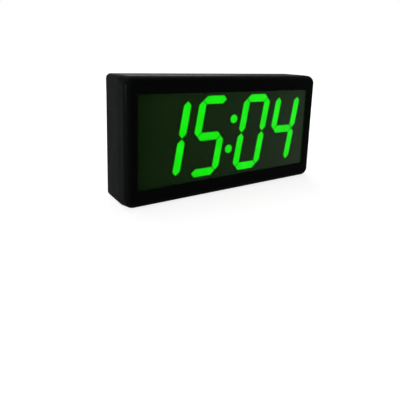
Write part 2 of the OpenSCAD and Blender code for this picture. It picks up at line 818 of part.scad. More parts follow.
module red_switch() push_switch(red_z);
module grey_switch() push_switch(grey_z);
module red_button() color("#b3202a") push_button(red_z, red_d);
module grey_button() color("#9a9c9e") push_button(grey_z, grey_d);

// Plug, drawn from its nose along +x with its latch towards +y

nose_l = 4;
body_l = 19;
core_in = shield_t + fit;
hinge_x = 1.6;
hinge_d = 1.1;
latch_root_w = 6.2;
latch_lever_w = 3.6;
latch_shoulder = 8.2;
latch_end = 19.5;
arch_w = 5.4;
arch_end = 18.2;

// Block centred on the plug's axis
module plug_block(x, l, h, w) translate([x, -h / 2, -w / 2]) cube([l, h, w]);

// Bar along z through the latch's pivot
module hinge_bar(d, w) translate([hinge_x, plug_h / 2, -w / 2]) cylinder(d = d, h = w);

module rj_body() color("#cfd4d6") difference() {
    union() {
        plug_block(0, nose_l, plug_h, plug_w);
        plug_block(0, body_l, plug_h - 2 * core_in, plug_w - 2 * core_in);
    }
    hinge_bar(hinge_d + 2 * fit, latch_root_w + 2 * fit);
    for (z = contact_rows) translate([-over, -plug_h / 2 - over, z - contact_pitch / 3])
        cube([over + contact_reach + fuse, over + 3 * contact_d, contact_pitch * 2 / 3]);
}

// Folded shield, with an arch under the latch
module rj_shield() color("#d9b45a") difference() {
    plug_block(nose_l, plug_l - nose_l, plug_h, plug_w);
    plug_block(nose_l - over, plug_l - nose_l + 2 * over, plug_h - 2 * shield_t, plug_w - 2 * shield_t);
    translate([nose_l - over, 0, -arch_w / 2]) cube([arch_end - arch_w / 2 - nose_l + over, plug_h, arch_w]);
    translate([arch_end - arch_w / 2, 0, 0]) bar_y(arch_w, plug_h);
}

// Latch tongue: wide up to the shoulders that hold in the socket, then a slim lever
module rj_latch() color("#dfe4e6") {
    hinge_bar(hinge_d, latch_root_w);
    translate([hinge_x, plug_h / 2, 0]) rotate([0, 0, latch_rise]) {
        translate([0, fit + run_gap / 2, -latch_root_w / 2])
            cube([latch_shoulder - hinge_x, latch_t, latch_root_w]);
        translate([0, fit + run_gap / 2, -latch_lever_w / 2])
            cube([latch_end - hinge_x, latch_t, latch_lever_w]);
        translate([0, -hinge_d / 4, -latch_root_w / 2])
            cube([hinge_d * 0.4, hinge_d, latch_root_w]);
    }
}

boot_edge_r = 1;
// Share of the boot that keeps its full section
boot_straight = 0.7;
boot_slit = [1.5, 1.2, 5];
relief_tip_d = cord_d + 0.9;
// Depth of the grooves between the ribs, at the boot and at the tip
groove_root = 0.7;
groove_tip = 0.2;
// Share of the pitch that a rib takes
rib_share = 0.55;
rib_pitch = relief_l / relief_ribs;
function relief_at(x) = relief_d + (relief_tip_d - relief_d) * x / relief_l;

// Moulded boot with a latch slit, and a strain relief with rings that grow smaller
module rj_boot() color("#eceeee") {
    difference() {
        hull() {
            for (y = [-1, 1], z = [-1, 1])
                translate([plug_l, y * (boot_h / 2 - boot_edge_r), z * (plug_w / 2 - boot_edge_r)])
                    rotate([0, 90, 0]) cylinder(r = boot_edge_r, h = boot_l * boot_straight, $fn = 24);
            translate([plug_l + boot_l - 1, 0, 0]) rotate([0, 90, 0]) cylinder(d = relief_d, h = 1, $fn = 32);
        }
        translate([plug_l + boot_l / 4, boot_h / 2 - boot_slit.y, -boot_slit.z / 2])
            cube(boot_slit + [0, over, 0]);
    }
    translate([plug_l + boot_l - fuse, 0, 0]) rotate([0, 90, 0]) {
        cylinder(d1 = relief_d - 2 * groove_root, d2 = relief_tip_d - 2 * groove_tip, h = relief_l + fuse);
        for (i = [0:relief_ribs - 1]) translate([0, 0, fuse + (i + 1 - rib_share) * rib_pitch])
            cylinder(d = relief_at(i * rib_pitch), h = rib_pitch * rib_share);
    }
}

module at_plug() at(nose_x, axis_y, jack_z) children();
module plug_body() at_plug() rj_body();
module plug_shield() at_plug() rj_shield();
module plug_latch() at_plug() rj_latch();
module plug_boot() at_plug() rj_boot();

// Lead: a free run down the back, a coil on the floor behind the clock and a tail to the far plug

coil_pitch = cord_d + coil_gap;
// Space between the tie and the turns below and above it
tie_gap = 0.15;
coil_z = tie_t + tie_gap + cord_d / 2;
coil_at = [96, 67.4];
exit_x = nose_x + plug_total;
coil_start = [coil_at.x + cord_d, coil_at.y + coil_r, coil_z];
coil_end = [coil_at.x - cord_d, coil_at.y + coil_r, coil_z + coil_pitch];
// Distance of the far boot's end from the coil's middle, along the clock and in towards it
far_run = 124;
far_in = 3.4;
far_exit = [coil_at.x - far_run, coil_at.y + coil_r - far_in, boot_h / 2];

// Points of the free run, from the boot down the back to the coil
lead_route = [
    [exit_x, front_y + axis_y, jack_z], [-2, 22, 86], [9, 23, 84], [19, 26.5, 79], [29, 31.5, 72.5],
    [39, 36, 65.5], [50, 37.5, 58], [63, 37.5, 49.5], [77, 37.5, 40.5], [91, 37.5, 32.5],
    [105, 38, 25.5], [119, 39.5, 19.5], [133, 42.5, 14.5], [145.2, 46.2, 10.8], [153.5, 50.3, 8.3],
    [160.1, 56.9, 6.4], [164.1, 65.4, 4.8], [164.9, 74.8, 3.7], [162.5, 83.8, 3.2], [157.1, 91.5, 3],
    [149.4, 96.9, 3], [140.4, 99.3, 3.1], [128, 99.4, 3.3], [114, 99.4, 3.4], coil_start
];
// Points of the tail, from the coil down to the far plug
lead_tail_route = [
    coil_end, [84, 99.4, 9.5], [74, 99.2, 8.4], [64, 98.6, 6.4], [54, 97.7, 4.8], [44, 96.8, 3.8],
    [34, 96.2, 3.2], [20, 96, 3], [4, 96, 3], [-10, 96, 3.5], [-19, 96, 4.2], far_exit
];

function unit(v) = v / norm(v);
// Direction of a path at point i
function heading(path, i) = unit(path[min(i + 1, len(path) - 1)] - path[max(i - 1, 0)]);

// Tube of a given radius swept along a path that is never upright
module tube(path, r, sides) {
    n = len(path);
    rings = [for (i = [0:n - 1])
        let (t = heading(path, i), across = unit(cross([0, 0, 1], t)), up = cross(t, across))
        for (k = [0:sides - 1])
            path[i] + r * (cos(360 * k / sides) * across + sin(360 * k / sides) * up)];
    walls = [for (i = [0:n - 2], k = [0:sides - 1])
        let (a = i * sides + k, b = i * sides + (k + 1) % sides)
        each [[a, b, a + sides], [b, b + sides, a + sides]]];
    first = [for (k = [1:sides - 2]) [0, k + 1, k]];
    last = [for (k = [1:sides - 2]) (n - 1) * sides * [1, 1, 1] + [0, k, k + 1]];
    polyhedron(points = rings, faces = [for (f = concat(walls, first, last)) [f[2], f[1], f[0]]]);
}

// Coil that spirals in on the floor, climbs in half a turn and spirals out on top
loop_steps = 24;
coil_steps = coil_turns * loop_steps;
function ease(s) = let (u = min(1, max(0, s))) u * u * (3 - 2 * u);
function coil_point(i) =
    let (
        turn = i / loop_steps,
        back = coil_turns / 2 - turn,
        r = coil_r - coil_pitch * (coil_turns / 2 - abs(back)),
        a = 90 + 360 * turn
    )
    [coil_at.x + r * cos(a), coil_at.y + r * sin(a), coil_z + coil_pitch * ease(0.5 - 2 * back)];
coil_path = concat([coil_start], [for (i = [0:coil_steps]) coil_point(i)], [coil_end]);
// Least distance between points of the coil that lie more than half a turn apart
coil_least = min([for (i = [0:coil_steps - loop_steps / 2], j = [i + loop_steps / 2:coil_steps])
    norm(coil_point(i) - coil_point(j))]) - cord_d;
echo(least_gap_of_the_coil_to_itself = coil_least);
function path_length(path) = len(path) < 2 ? 0
    : [for (i = 1, s = norm(path[1] - path[0]); i < len(path); i = i + 1,
        s = i < len(path) ? s + norm(path[i] - path[i - 1]) : s) s][len(path) - 2];
echo(length_of_the_cable = path_length(lead_route) + path_length(coil_path) + path_length(lead_tail_route));

lead_sides = 10;
coil_sides = 6;
module network_lead() color("#e9e9e6") tube(lead_route, cord_d / 2, lead_sides);
module lead_coil() color("#e9e9e6") tube(coil_path, cord_d / 2, coil_sides);
module lead_tail() color("#e9e9e6") tube(lead_tail_route, cord_d / 2, lead_sides);

// Tie round the turns on the coil's left side, a quarter turn on from the coil's start
turns_in = [for (k = [0:coil_turns - 1]) coil_turns / 2 - abs(coil_turns / 2 - k - 0.25)];
tie_turn_in = coil_r - coil_pitch * max(turns_in) - cord_d / 2;
tie_in = sqrt(tie_turn_in * tie_turn_in - tie_w * tie_w / 4) - run_gap;
tie_out = coil_r - coil_pitch * min(turns_in) + cord_d / 2 + run_gap;
tie_top = coil_z + coil_pitch + cord_d / 2 + tie_gap;

module lead_tie() color("#1c1c1c") translate([coil_at.x, coil_at.y - tie_w / 2, 0]) difference() {
    translate([-tie_out - tie_t, 0, 0]) cube([tie_out - tie_in + 2 * tie_t, tie_w, tie_top + tie_t]);
    translate([-tie_out, -over, tie_t]) cube([tie_out - tie_in, tie_w + 2 * over, tie_top - tie_t]);
}

// Far plug, lying on the floor with its latch up
module at_far_plug() translate(far_exit - [plug_total, 0, 0]) rotate([90, 0, 0]) children();
module far_plug_body() at_far_plug() rj_body();
module far_plug_shield() at_far_plug() rj_shield();
module far_plug_latch() at_far_plug() rj_latch();
module far_plug_boot() at_far_plug() rj_boot();

front_frame();
lens_tape();
window_lens();
light_box();
digit_1_lit();
digit_2_lit();
digit_3_lit();
digit_4_lit();
unlit_segments();
colon_dots();
segment_leds();
display_board();
display_screws();
driver_chips();
ribbon_headers();
ribbon_plugs();
ribbon_cable();
rear_cover();
control_board();
control_screws();
power_transformer();
storage_capacitors();
processor_chip();
clock_crystal();
battery_holder();
backup_cell();
network_jack();
jack_contacts();
red_switch();
red_button();
grey_switch();
grey_button();
plug_body();
plug_shield();
plug_latch();
plug_boot();
network_lead();
lead_coil();
lead_tie();
lead_tail();
far_plug_body();
far_plug_shield();
far_plug_latch();
far_plug_boot();
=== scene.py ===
"""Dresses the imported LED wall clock: glowing digits, tinted window, black case and network lead."""

import json
import logging
import math
from collections.abc import Callable, Sequence
from dataclasses import dataclass
from enum import Enum

import bmesh
import bpy
from mathutils import Matrix, Vector


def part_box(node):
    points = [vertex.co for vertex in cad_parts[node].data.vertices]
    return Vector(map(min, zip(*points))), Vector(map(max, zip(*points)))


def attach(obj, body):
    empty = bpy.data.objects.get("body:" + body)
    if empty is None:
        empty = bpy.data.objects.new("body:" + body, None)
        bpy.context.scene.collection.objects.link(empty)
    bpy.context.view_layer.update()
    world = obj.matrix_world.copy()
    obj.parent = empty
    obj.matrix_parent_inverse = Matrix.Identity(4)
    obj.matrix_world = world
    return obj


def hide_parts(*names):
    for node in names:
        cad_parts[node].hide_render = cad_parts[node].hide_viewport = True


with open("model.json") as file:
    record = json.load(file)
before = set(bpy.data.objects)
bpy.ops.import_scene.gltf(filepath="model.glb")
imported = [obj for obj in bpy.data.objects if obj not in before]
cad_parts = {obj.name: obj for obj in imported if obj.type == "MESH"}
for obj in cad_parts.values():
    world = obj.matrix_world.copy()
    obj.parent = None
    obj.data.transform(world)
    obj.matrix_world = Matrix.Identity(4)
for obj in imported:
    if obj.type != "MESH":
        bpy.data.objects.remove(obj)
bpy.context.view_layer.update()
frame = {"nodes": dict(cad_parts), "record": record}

LOG = logging.getLogger("clock")
MM = 0.001
WHITE = (1.0, 1.0, 1.0)
QUARTER_TURN = math.radians(90.0)
# Corners of a copied node that lie closer than this are merged, in metres
MERGE_GAP = 1e-6
# Faces that meet at less than this angle count as one
FLAT_ANGLE = math.radians(0.4)
# An edge is rounded past this angle
SHARP_ANGLE = math.radians(40.0)

Colour = tuple[float, float, float]
Place = tuple[float, float, float]
Pair = tuple[float, float]
Material = bpy.types.Material
Node = bpy.types.Node
Socket = bpy.types.NodeSocket
Thing = bpy.types.Object
Solid = bmesh.types.BMesh
Feed = Node | Socket | Material | float | bool | Place
EdgeTest = Callable[[bmesh.types.BMEdge], bool]


class Body(str, Enum):
    """The CAD bodies that pieces ride on."""

    CASE = "case"
    RED = "red_button"
    GREY = "grey_button"
    LATCH = "plug_latch"
    FAR_LATCH = "far_plug_latch"


class Slot(str, Enum):
    """The record's material slots."""

    CASE = "case_black"
    TAPE = "tape_black"
    LENS = "lens_green"
    LIGHT_BOX = "light_box_dark"
    DIGIT = "digit_green"
    UNLIT = "diffuser_dark"
    LED = "led_pale"
    BOARD = "board_green"
    SCREW = "screw_steel"
    CHIP = "chip_black"
    HEADER = "header_black"
    RIBBON = "ribbon_grey"
    TRANSFORMER = "transformer_dark"
    CAPACITOR = "capacitor_sleeve"
    CAN = "can_steel"
    JACK = "jack_grey"
    CONTACT = "contact_gold"
    RED = "button_red"
    GREY = "button_grey"
    CLEAR = "plug_clear"
    SHIELD = "shield_gold"
    BOOT = "boot_white"
    CABLE = "cable_white"
    TIE = "tie_black"


# Node trees


class Graph:
    """A node tree with short ways to add and join its nodes."""

    def __init__(self, tree: bpy.types.NodeTree) -> None:
        """Takes up a tree."""
        self.tree = tree

    def feed(self, target: Socket, value: Feed) -> None:
        """Links an input, or sets it to a constant.

        Args:
            target: The input.
            value: A node, for its first output, or a socket, or the constant.
        """
        if isinstance(value, Node):
            value = value.outputs[0]
        if isinstance(value, Socket):
            self.tree.links.new(value, target)
        elif target.type == "RGBA":
            target.default_value = (*value, 1.0)
        else:
            target.default_value = value

    def node(self, kind: str, inputs: dict[str | int, Feed] | None = None, **options: str) -> Node:
        """Adds a node.

        Args:
            kind: The node's type.
            inputs: Names or numbers of its inputs, and what they get.
            options: Its other settings.

        Returns:
            The node.
        """
        made = self.tree.nodes.new(kind)
        for name, value in options.items():
            setattr(made, name, value)
        for name, value in (inputs or {}).items():
            self.feed(made.inputs[name], value)
        return made

    def calc(self, operation: str, first: Feed, second: Feed) -> Socket:
        """Adds a sum of two numbers, of a kind such as ADD or MULTIPLY."""
        return self.node("ShaderNodeMath", {0: first, 1: second}, operation=operation).outputs[0]

    def span(self, value: Feed, low: float, high: float,
             start: float = 0.3, end: float = 0.7) -> Socket:
        """Maps a pattern to a range.

        Args:
            value: The pattern.
            low: Result where the pattern is at start.
            high: Result where the pattern is at end.
            start: Lower end of the pattern's own range.
            end: Upper end of the pattern's own range.

        Returns:
            The mapped value.
        """
        ends = {"From Min": start, "From Max": end, "To Min": low, "To Max": high}
        return self.node("ShaderNodeMapRange", {"Value": value, **ends}).outputs["Result"]


# Finishes


class Shader(Graph):
    """One material: a Principled surface with patterns in object space."""

    def __init__(self, name: str) -> None:
        """Starts the material.

        Args:
            name: The material's name.
        """
        self.material = bpy.data.materials.new(name)
        self.material.use_nodes = True
        super().__init__(self.material.node_tree)
        self.tree.nodes.clear()
        self.surface = self.node("ShaderNodeBsdfPrincipled")
        self.node("ShaderNodeOutputMaterial", {"Surface": self.surface})
        self.place = self.node("ShaderNodeTexCoord").outputs["Object"]

    def set(self, values: dict[str, Feed]) -> None:
        """Sets the surface's own sockets, given by name."""
        for name, value in values.items():
            self.feed(self.surface.inputs[name], value)

    def noise(self, scale: float, detail: float = 2.0, stretch: Place = (1.0, 1.0, 1.0)) -> Socket:
        """Adds a cloudy pattern.

        Args:
            scale: Clouds for each metre.
            detail: How many finer layers it has.
            stretch: Scale along each axis, to draw the clouds out.

        Returns:
            The pattern's value.
        """
        mapping = self.node("ShaderNodeMapping", {"Vector": self.place, "Scale": stretch})
        inputs = {"Vector": mapping, "Scale": scale, "Detail": detail}
        return self.node("ShaderNodeTexNoise", inputs).outputs["Fac"]

    def blend(self, share: Feed, first: Colour, second: Colour) -> Socket:
        """Blends two colours by a pattern.

        Args:
            share: The pattern.
            first: Colour where the pattern is low.
            second: Colour where the pattern is high.

        Returns:
            The blended colour.
        """
        node = self.node("ShaderNodeMix", {0: self.span(share, 0.0, 1.0)}, data_type="RGBA")
        for target, colour in zip((s for s in node.inputs if s.type == "RGBA"), (first, second)):
            self.feed(target, colour)
        return next(s for s in node.outputs if s.type == "RGBA")

    def paint(self, share: Feed, first: Colour, second: Colour) -> None:
        """Gives the surface two base colours, blended by a pattern."""
        self.set({"Base Color": self.blend(share, first, second)})

    def gloss(self, share: Feed, low: float, high: float) -> None:
        """Varies the surface's roughness by a pattern."""
        self.set({"Roughness": self.span(share, low, high)})

    def relief(self, height: Feed, depth: float) -> None:
        """Raises a pattern on the surface, to a height in metres."""
        self.set({"Normal": self.node("ShaderNodeBump", {"Height": height, "Distance": depth})})


@dataclass(frozen=True)
class Moulded:
    """Moulded plastic or rubber with a fine grain.

    Attributes:
        name: The material's name.
        colour: Main colour.
        cloud: Colour of the faint clouds in it.
        rough: Least and greatest roughness.
        specular: Strength of its reflections, 0.5 for clean plastic.
        grain: Grains for each metre.
        depth: Depth of the grain in metres.
        patch: Clouds for each metre.
        extra: Further constants of the surface.
    """

    name: str
    colour: Colour
    cloud: Colour
    rough: Pair = (0.4, 0.5)
    specular: float = 0.5
    grain: float = 2200.0
    depth: float = 0.00002
    patch: float = 30.0
    extra: tuple[tuple[str, float], ...] = ()

    def make(self) -> Material:
        """Builds the material.

        Returns:
            The material.
        """
        shader = Shader(self.name)
        shader.paint(shader.noise(self.patch, detail=4.0), self.colour, self.cloud)
        shader.gloss(shader.noise(4.0 * self.patch, detail=3.0), *self.rough)
        shader.relief(shader.noise(self.grain), self.depth)
        shader.set({"Specular IOR Level": self.specular, **dict(self.extra)})
        return shader.material


@dataclass(frozen=True)
class Metal:
    """Plated or drawn metal with fine lines along one axis.

    Attributes:
        name: The material's name.
        colour: Main colour.
        cloud: Colour of the faint clouds in it.
        rough: Least and greatest roughness.
        patch: Clouds for each metre.
        lines: Lines for each metre.
        stretch: Stretch of the lines along each axis.
        depth: Depth of the lines in metres.
    """

    name: str
    colour: Colour
    cloud: Colour
    rough: Pair
    patch: float = 140.0
    lines: float = 1500.0
    stretch: Place = (0.05, 1.0, 1.0)
    depth: float = 0.000004

    def make(self) -> Material:
        """Builds the material.

        Returns:
            The material.
        """
        shader = Shader(self.name)
        streaks = shader.noise(self.lines, 3.0, self.stretch)
        shader.paint(shader.noise(self.patch, detail=3.0), self.colour, self.cloud)
        shader.gloss(streaks, *self.rough)
        shader.relief(streaks, self.depth)
        shader.set({"Metallic": 1.0})
        return shader.material


@dataclass(frozen=True)
class TintedPane:
    """Dark green see-through plastic, a little cloudy.

    Attributes:
        name: The material's name.
        tint: Colour of the light that comes through.
        cloud: Colour in its faint clouds.
        patch: Clouds for each metre.
        rough: Least and greatest roughness.
        smears: Smears in its gloss for each metre.
        waves: Waves on its face for each metre.
        depth: Depth of the waves in metres.
        clear: Share of the light that comes through.
        ior: Index of refraction.
        specular: Strength of its reflections.
        sheen: Share of its reflections that a matt coating leaves.
    """

    name: str = "tinted_pane"
    tint: Colour = (0.10, 0.27, 0.055)
    cloud: Colour = (0.11, 0.29, 0.065)
    patch: float = 9.0
    rough: Pair = (0.0, 0.004)
    smears: float = 60.0
    waves: float = 25.0
    depth: float = 0.000002
    clear: float = 0.87
    ior: float = 1.4
    specular: float = 0.05
    sheen: Colour = (0.03, 0.03, 0.03)

    def make(self) -> Material:
        """Builds the material.

        Returns:
            The material.
        """
        shader = Shader(self.name)
        shader.paint(shader.noise(self.patch), self.tint, self.cloud)
        shader.gloss(shader.noise(self.smears, detail=3.0), *self.rough)
        shader.relief(shader.noise(self.waves, detail=1.0), self.depth)
        shader.set({"Transmission Weight": self.clear, "IOR": self.ior,
                    "Specular IOR Level": self.specular, "Specular Tint": self.sheen})
        return shader.material


@dataclass(frozen=True)
class Glow:
    """Milky diffuser with a lamp behind it.

    Attributes:
        name: The material's name.
        light: Colour of most of its light.
        core: Colour of the light where a lamp stands close.
        strength: Brightness behind the tinted pane.
        patch: Bright patches for each metre.
        body: Colour of the diffuser itself.
        cloud: Colour of the diffuser in the bright patches.
        rough: Least and greatest roughness.
        smears: Smears in its gloss for each metre.
        grain: Grains for each metre.
        depth: Depth of the grain in metres.
    """

    name: str = "glowing_diffuser"
    light: Colour = (0.0, 0.87, 0.0)
    core: Colour = (0.02, 1.02, 0.03)
    strength: float = 4.0
    patch: float = 65.0
    body: Colour = (0.05, 0.35, 0.06)
    cloud: Colour = (0.08, 0.4, 0.08)
    rough: Pair = (0.35, 0.5)
    smears: float = 300.0
    grain: float = 1500.0
    depth: float = 0.00001

    def make(self) -> Material:
        """Builds the material.

        Returns:
            The material.
        """
        shader = Shader(self.name)
        patches = shader.noise(self.patch, detail=1.0)
        shader.set({"Emission Color": shader.blend(patches, self.light, self.core),
                    "Emission Strength": self.strength})
        shader.paint(patches, self.body, self.cloud)
        shader.gloss(shader.noise(self.smears), *self.rough)
        shader.relief(shader.noise(self.grain), self.depth)
        return shader.material


@dataclass(frozen=True)
class SolderMask:
    """Circuit board with tracks under a green lacquer.

    Attributes:
        name: The material's name.
        lacquer: Colour over bare board.
        track: Colour over the copper tracks.
        pitch: Rows of tracks for each metre.
        width: Width of a track, in the pattern's own measure.
        depth: Height of a track in metres.
        rough: Least and greatest roughness.
        smears: Smears in its gloss for each metre.
    """

    name: str = "solder_mask"
    lacquer: Colour = (0.045, 0.21, 0.1)
    track: Colour = (0.09, 0.33, 0.18)
    pitch: float = 90.0
    width: float = 0.06
    depth: float = 0.00003
    rough: Pair = (0.25, 0.4)
    smears: float = 400.0

    def make(self) -> Material:
        """Builds the material.

        Returns:
            The material.
        """
        shader = Shader(self.name)
        upright = {"Vector": shader.place, "Rotation": (QUARTER_TURN, 0.0, 0.0)}
        tracks = shader.node("ShaderNodeTexBrick", {
            "Vector": shader.node("ShaderNodeMapping", upright),
            "Scale": self.pitch, "Mortar Size": self.width}).outputs["Fac"]
        shader.paint(tracks, self.lacquer, self.track)
        shader.gloss(shader.noise(self.smears), *self.rough)
        shader.relief(tracks, self.depth)
        return shader.material


@dataclass(frozen=True)
class Weave:
    """Woven strap with a soft nap.

    Attributes:
        name: The material's name.
        thread: Colour of the threads.
        gap: Colour between them.
        pitch: Threads for each metre.
        depth: Height of a thread in metres.
        rough: Least and greatest roughness.
        smears: Smears in its gloss for each metre.
        nap: Strength of its velvet sheen.
    """

    name: str = "woven_strap"
    thread: Colour = (0.022, 0.022, 0.024)
    gap: Colour = (0.004, 0.004, 0.004)
    pitch: float = 1400.0
    depth: float = 0.00025
    rough: Pair = (0.75, 0.9)
    smears: float = 500.0
    nap: float = 0.3

    def make(self) -> Material:
        """Builds the material.

        Returns:
            The material.
        """
        shader = Shader(self.name)
        threads = shader.node("ShaderNodeTexVoronoi", {"Vector": shader.place, "Scale": self.pitch})
        shader.paint(threads, self.thread, self.gap)
        shader.gloss(shader.noise(self.smears), *self.rough)
        shader.relief(threads, self.depth)
        shader.set({"Sheen Weight": self.nap})
        return shader.material


Finish = Moulded | Metal | TintedPane | Glow | SolderMask | Weave

FINISHES: dict[Slot, Finish] = {
    Slot.CASE: Moulded(
        "case_plastic", (0.0042, 0.0047, 0.0046), (0.0052, 0.0057, 0.0056), rough=(0.64, 0.76),
        specular=0.014, grain=2600.0, depth=0.000018, patch=14.0),
    Slot.TAPE: Moulded(
        "foam_tape", (0.012, 0.012, 0.012), (0.02, 0.02, 0.02), rough=(0.8, 0.95),
        specular=0.2, grain=1500.0, depth=0.0001),
    Slot.LENS: TintedPane(),
    Slot.LIGHT_BOX: Moulded(
        "light_box_plastic", (0.004, 0.007, 0.003), (0.006, 0.01, 0.004), rough=(0.75, 0.9),
        specular=0.03, grain=700.0, depth=0.000004),
    Slot.DIGIT: Glow(),
    Slot.UNLIT: Moulded(
        "unlit_diffuser", (0.004, 0.007, 0.003), (0.006, 0.01, 0.004), rough=(0.7, 0.85),
        specular=0.03, grain=700.0, depth=0.000004),
    Slot.LED: Moulded(
        "lamp_body", (0.7, 0.72, 0.55), (0.8, 0.8, 0.65), rough=(0.3, 0.45), grain=1500.0),
    Slot.BOARD: SolderMask(),
    Slot.SCREW: Metal("screw_plating", (0.55, 0.55, 0.54), (0.42, 0.43, 0.44), rough=(0.25, 0.4)),
    Slot.CHIP: Moulded(
        "chip_resin", (0.012, 0.012, 0.013), (0.02, 0.02, 0.02), rough=(0.55, 0.7),
        specular=0.4, grain=4000.0),
    Slot.HEADER: Moulded(
        "header_plastic", (0.008, 0.008, 0.008), (0.014, 0.014, 0.014), rough=(0.4, 0.55),
        specular=0.4),
    Slot.RIBBON: Moulded(
        "ribbon_jacket", (0.22, 0.23, 0.24), (0.28, 0.29, 0.3), rough=(0.45, 0.6),
        specular=0.4, grain=800.0, depth=0.0001),
    Slot.TRANSFORMER: Moulded(
        "ferrite", (0.02, 0.02, 0.022), (0.035, 0.035, 0.037), rough=(0.5, 0.65),
        specular=0.4, grain=1200.0),
    Slot.CAPACITOR: Moulded(
        "capacitor_sleeve_film", (0.01, 0.02, 0.055), (0.016, 0.03, 0.075), rough=(0.2, 0.3),
        grain=600.0),
    Slot.CAN: Metal("drawn_can", (0.62, 0.62, 0.6), (0.5, 0.51, 0.5), rough=(0.2, 0.32)),
    Slot.JACK: Moulded(
        "socket_plastic", (0.28, 0.3, 0.31), (0.33, 0.345, 0.355), rough=(0.35, 0.5),
        specular=0.4),
    Slot.CONTACT: Metal(
        "contact_plating", (0.86, 0.56, 0.16), (0.74, 0.46, 0.12), rough=(0.15, 0.28)),
    # Red cap: its plastic's red made darker, as painted shade of the recess that it sits in.
    Slot.RED: Moulded(
        "red_cap_shaded", (0.22, 0.006, 0.009), (0.27, 0.009, 0.013), rough=(0.35, 0.5),
        specular=0.2, grain=2600.0, depth=0.00001, patch=120.0),
    # Grey cap: its plastic's grey made much darker, as painted shade of the recess that it sits in.
    Slot.GREY: Moulded(
        "grey_cap_shaded", (0.07, 0.073, 0.076), (0.09, 0.093, 0.096), rough=(0.4, 0.55),
        specular=0.25, grain=2600.0, depth=0.00001, patch=120.0),
    Slot.CLEAR: Moulded(
        "clear_plug_plastic", (0.82, 0.86, 0.86), (0.88, 0.91, 0.9), rough=(0.06, 0.16),
        grain=900.0, depth=0.000006, patch=90.0,
        extra=(("Transmission Weight", 0.85), ("IOR", 1.5))),
    Slot.SHIELD: Metal("shield_plating", (0.68, 0.5, 0.19), (0.58, 0.43, 0.16), rough=(0.22, 0.4)),
    # Boot: a pinkish white rubber, made a little darker than it is as painted shade of the recess.
    Slot.BOOT: Moulded(
        "boot_rubber_and_shade", (0.62, 0.595, 0.585), (0.68, 0.66, 0.65), rough=(0.42, 0.58),
        specular=0.45, grain=1600.0, patch=160.0),
    Slot.CABLE: Moulded(
        "cable_jacket", (0.62, 0.61, 0.58), (0.7, 0.69, 0.66), rough=(0.34, 0.48),
        specular=0.45, grain=1100.0, patch=60.0),
    Slot.TIE: Weave(),
}
# Black of the front frame: the case's plastic made about three times darker. This is partly a real
# difference between the two mouldings and partly painted shade for the dim front face.
BEZEL_WITH_SHADE = Moulded(
    "bezel_plastic_with_shade", (0.0015, 0.0018, 0.0017), (0.002, 0.0023, 0.0022), rough=(0.6, 0.7),
    specular=0.009, grain=2600.0, depth=0.000006, patch=14.0,
    extra=(("Coat Weight", 0.014), ("Coat Roughness", 0.2)))
LABEL = Moulded(
    "label_paper", (0.74, 0.75, 0.75), (0.8, 0.8, 0.8), rough=(0.5, 0.62),
    specular=0.4, grain=1300.0, depth=0.000012, patch=70.0)


class FinishBook:
    """Makes each finish once and dresses the CAD nodes that stay in view."""

    def __init__(self) -> None:
        """Builds the finishes of every slot."""
        self.made = {slot: finish.make() for slot, finish in FINISHES.items()}

    def of(self, slot: Slot) -> Material:
        """The material of a slot."""
        return self.made[slot]

    def dress_nodes(self) -> None:
        """Gives every CAD node its slot's finish."""
        for part in frame["record"]["subparts"]:
            slot = Slot(part["material_slot"])
            painted(frame["nodes"][part["node"]], self.of(slot))
            LOG.info("node %s takes %s", part["node"], slot.value)


# Ways to make a mesh


def new_object(name: str, data: bpy.types.ID) -> Thing:
    """Links a new object into the scene.

    Args:
        name: Its name.
        data: Its mesh, lamp or camera.

    Returns:
        The object.
    """
    thing = bpy.data.objects.new(name, data)
    bpy.context.scene.collection.objects.link(thing)
    return thing


def mesh_from(bm: Solid, name: str) -> bpy.types.Mesh:
    """Writes a bmesh to a new mesh and frees it.

    Args:
        bm: The bmesh.
        name: The mesh's name.

    Returns:
        The mesh.
    """
    mesh = bpy.data.meshes.new(name)
    bm.to_mesh(mesh)
    bm.free()
    return mesh


def painted(thing: Thing, material: Material) -> Thing:
    """Gives a piece one finish.

    Args:
        thing: The piece.
        material: Its finish.

    Returns:
        The piece.
    """
    thing.data.materials.clear()
    thing.data.materials.append(material)
    return thing


def shade(bm: Solid, limit: float = 32.0) -> None:
    """Smooths all faces, with hard edges past an angle.

    Args:
        bm: The mesh to shade.
        limit: Angle in degrees past which an edge stays hard.
    """
    for face in bm.faces:
        face.smooth = True
    for edge in bm.edges:
        edge.smooth = edge.is_manifold and edge.calc_face_angle(0.0) < math.radians(limit)


def plain(thing: Thing) -> Thing:
    """Keeps what a piece's modifiers make as a plain mesh, and takes them off.

    Args:
        thing: The piece.

    Returns:
        The piece.
    """
    seen = thing.evaluated_get(bpy.context.evaluated_depsgraph_get())
    mesh = bpy.data.meshes.new_from_object(seen)
    thing.modifiers.clear()
    thing.data = mesh
    return thing


def softened(node: str, name: str, edge_r: float, steps: int = 2,
             choose: EdgeTest | None = None) -> Thing:
    """Copies a CAD node as one merged skin with rounded edges.

    Args:
        node: The CAD node.
        name: Name of the new piece.
        edge_r: Width of the rounding in metres.
        steps: Facets across the rounding.
        choose: Which of the sharp edges are rounded, all of them if left out.

    Returns:
        The new object, smooth-shaded.
    """
    bm = bmesh.new()
    bm.from_mesh(frame["nodes"][node].data)
    bmesh.ops.remove_doubles(bm, verts=bm.verts, dist=MERGE_GAP)
    bmesh.ops.dissolve_limit(bm, angle_limit=FLAT_ANGLE, verts=bm.verts, edges=bm.edges)
    sharp = [e for e in bm.edges
             if e.is_manifold and e.is_convex and e.calc_face_angle(0.0) > SHARP_ANGLE]
    picked = [e for e in sharp if choose is None or choose(e)]
    bmesh.ops.bevel(bm, geom=picked, offset=edge_r, segments=steps, profile=0.5,
                    affect="EDGES", clamp_overlap=True)
    shade(bm)
    thing = new_object(name, mesh_from(bm, name))
    thing.modifiers.new("even_light", "WEIGHTED_NORMAL").keep_sharp = True
    return plain(thing)


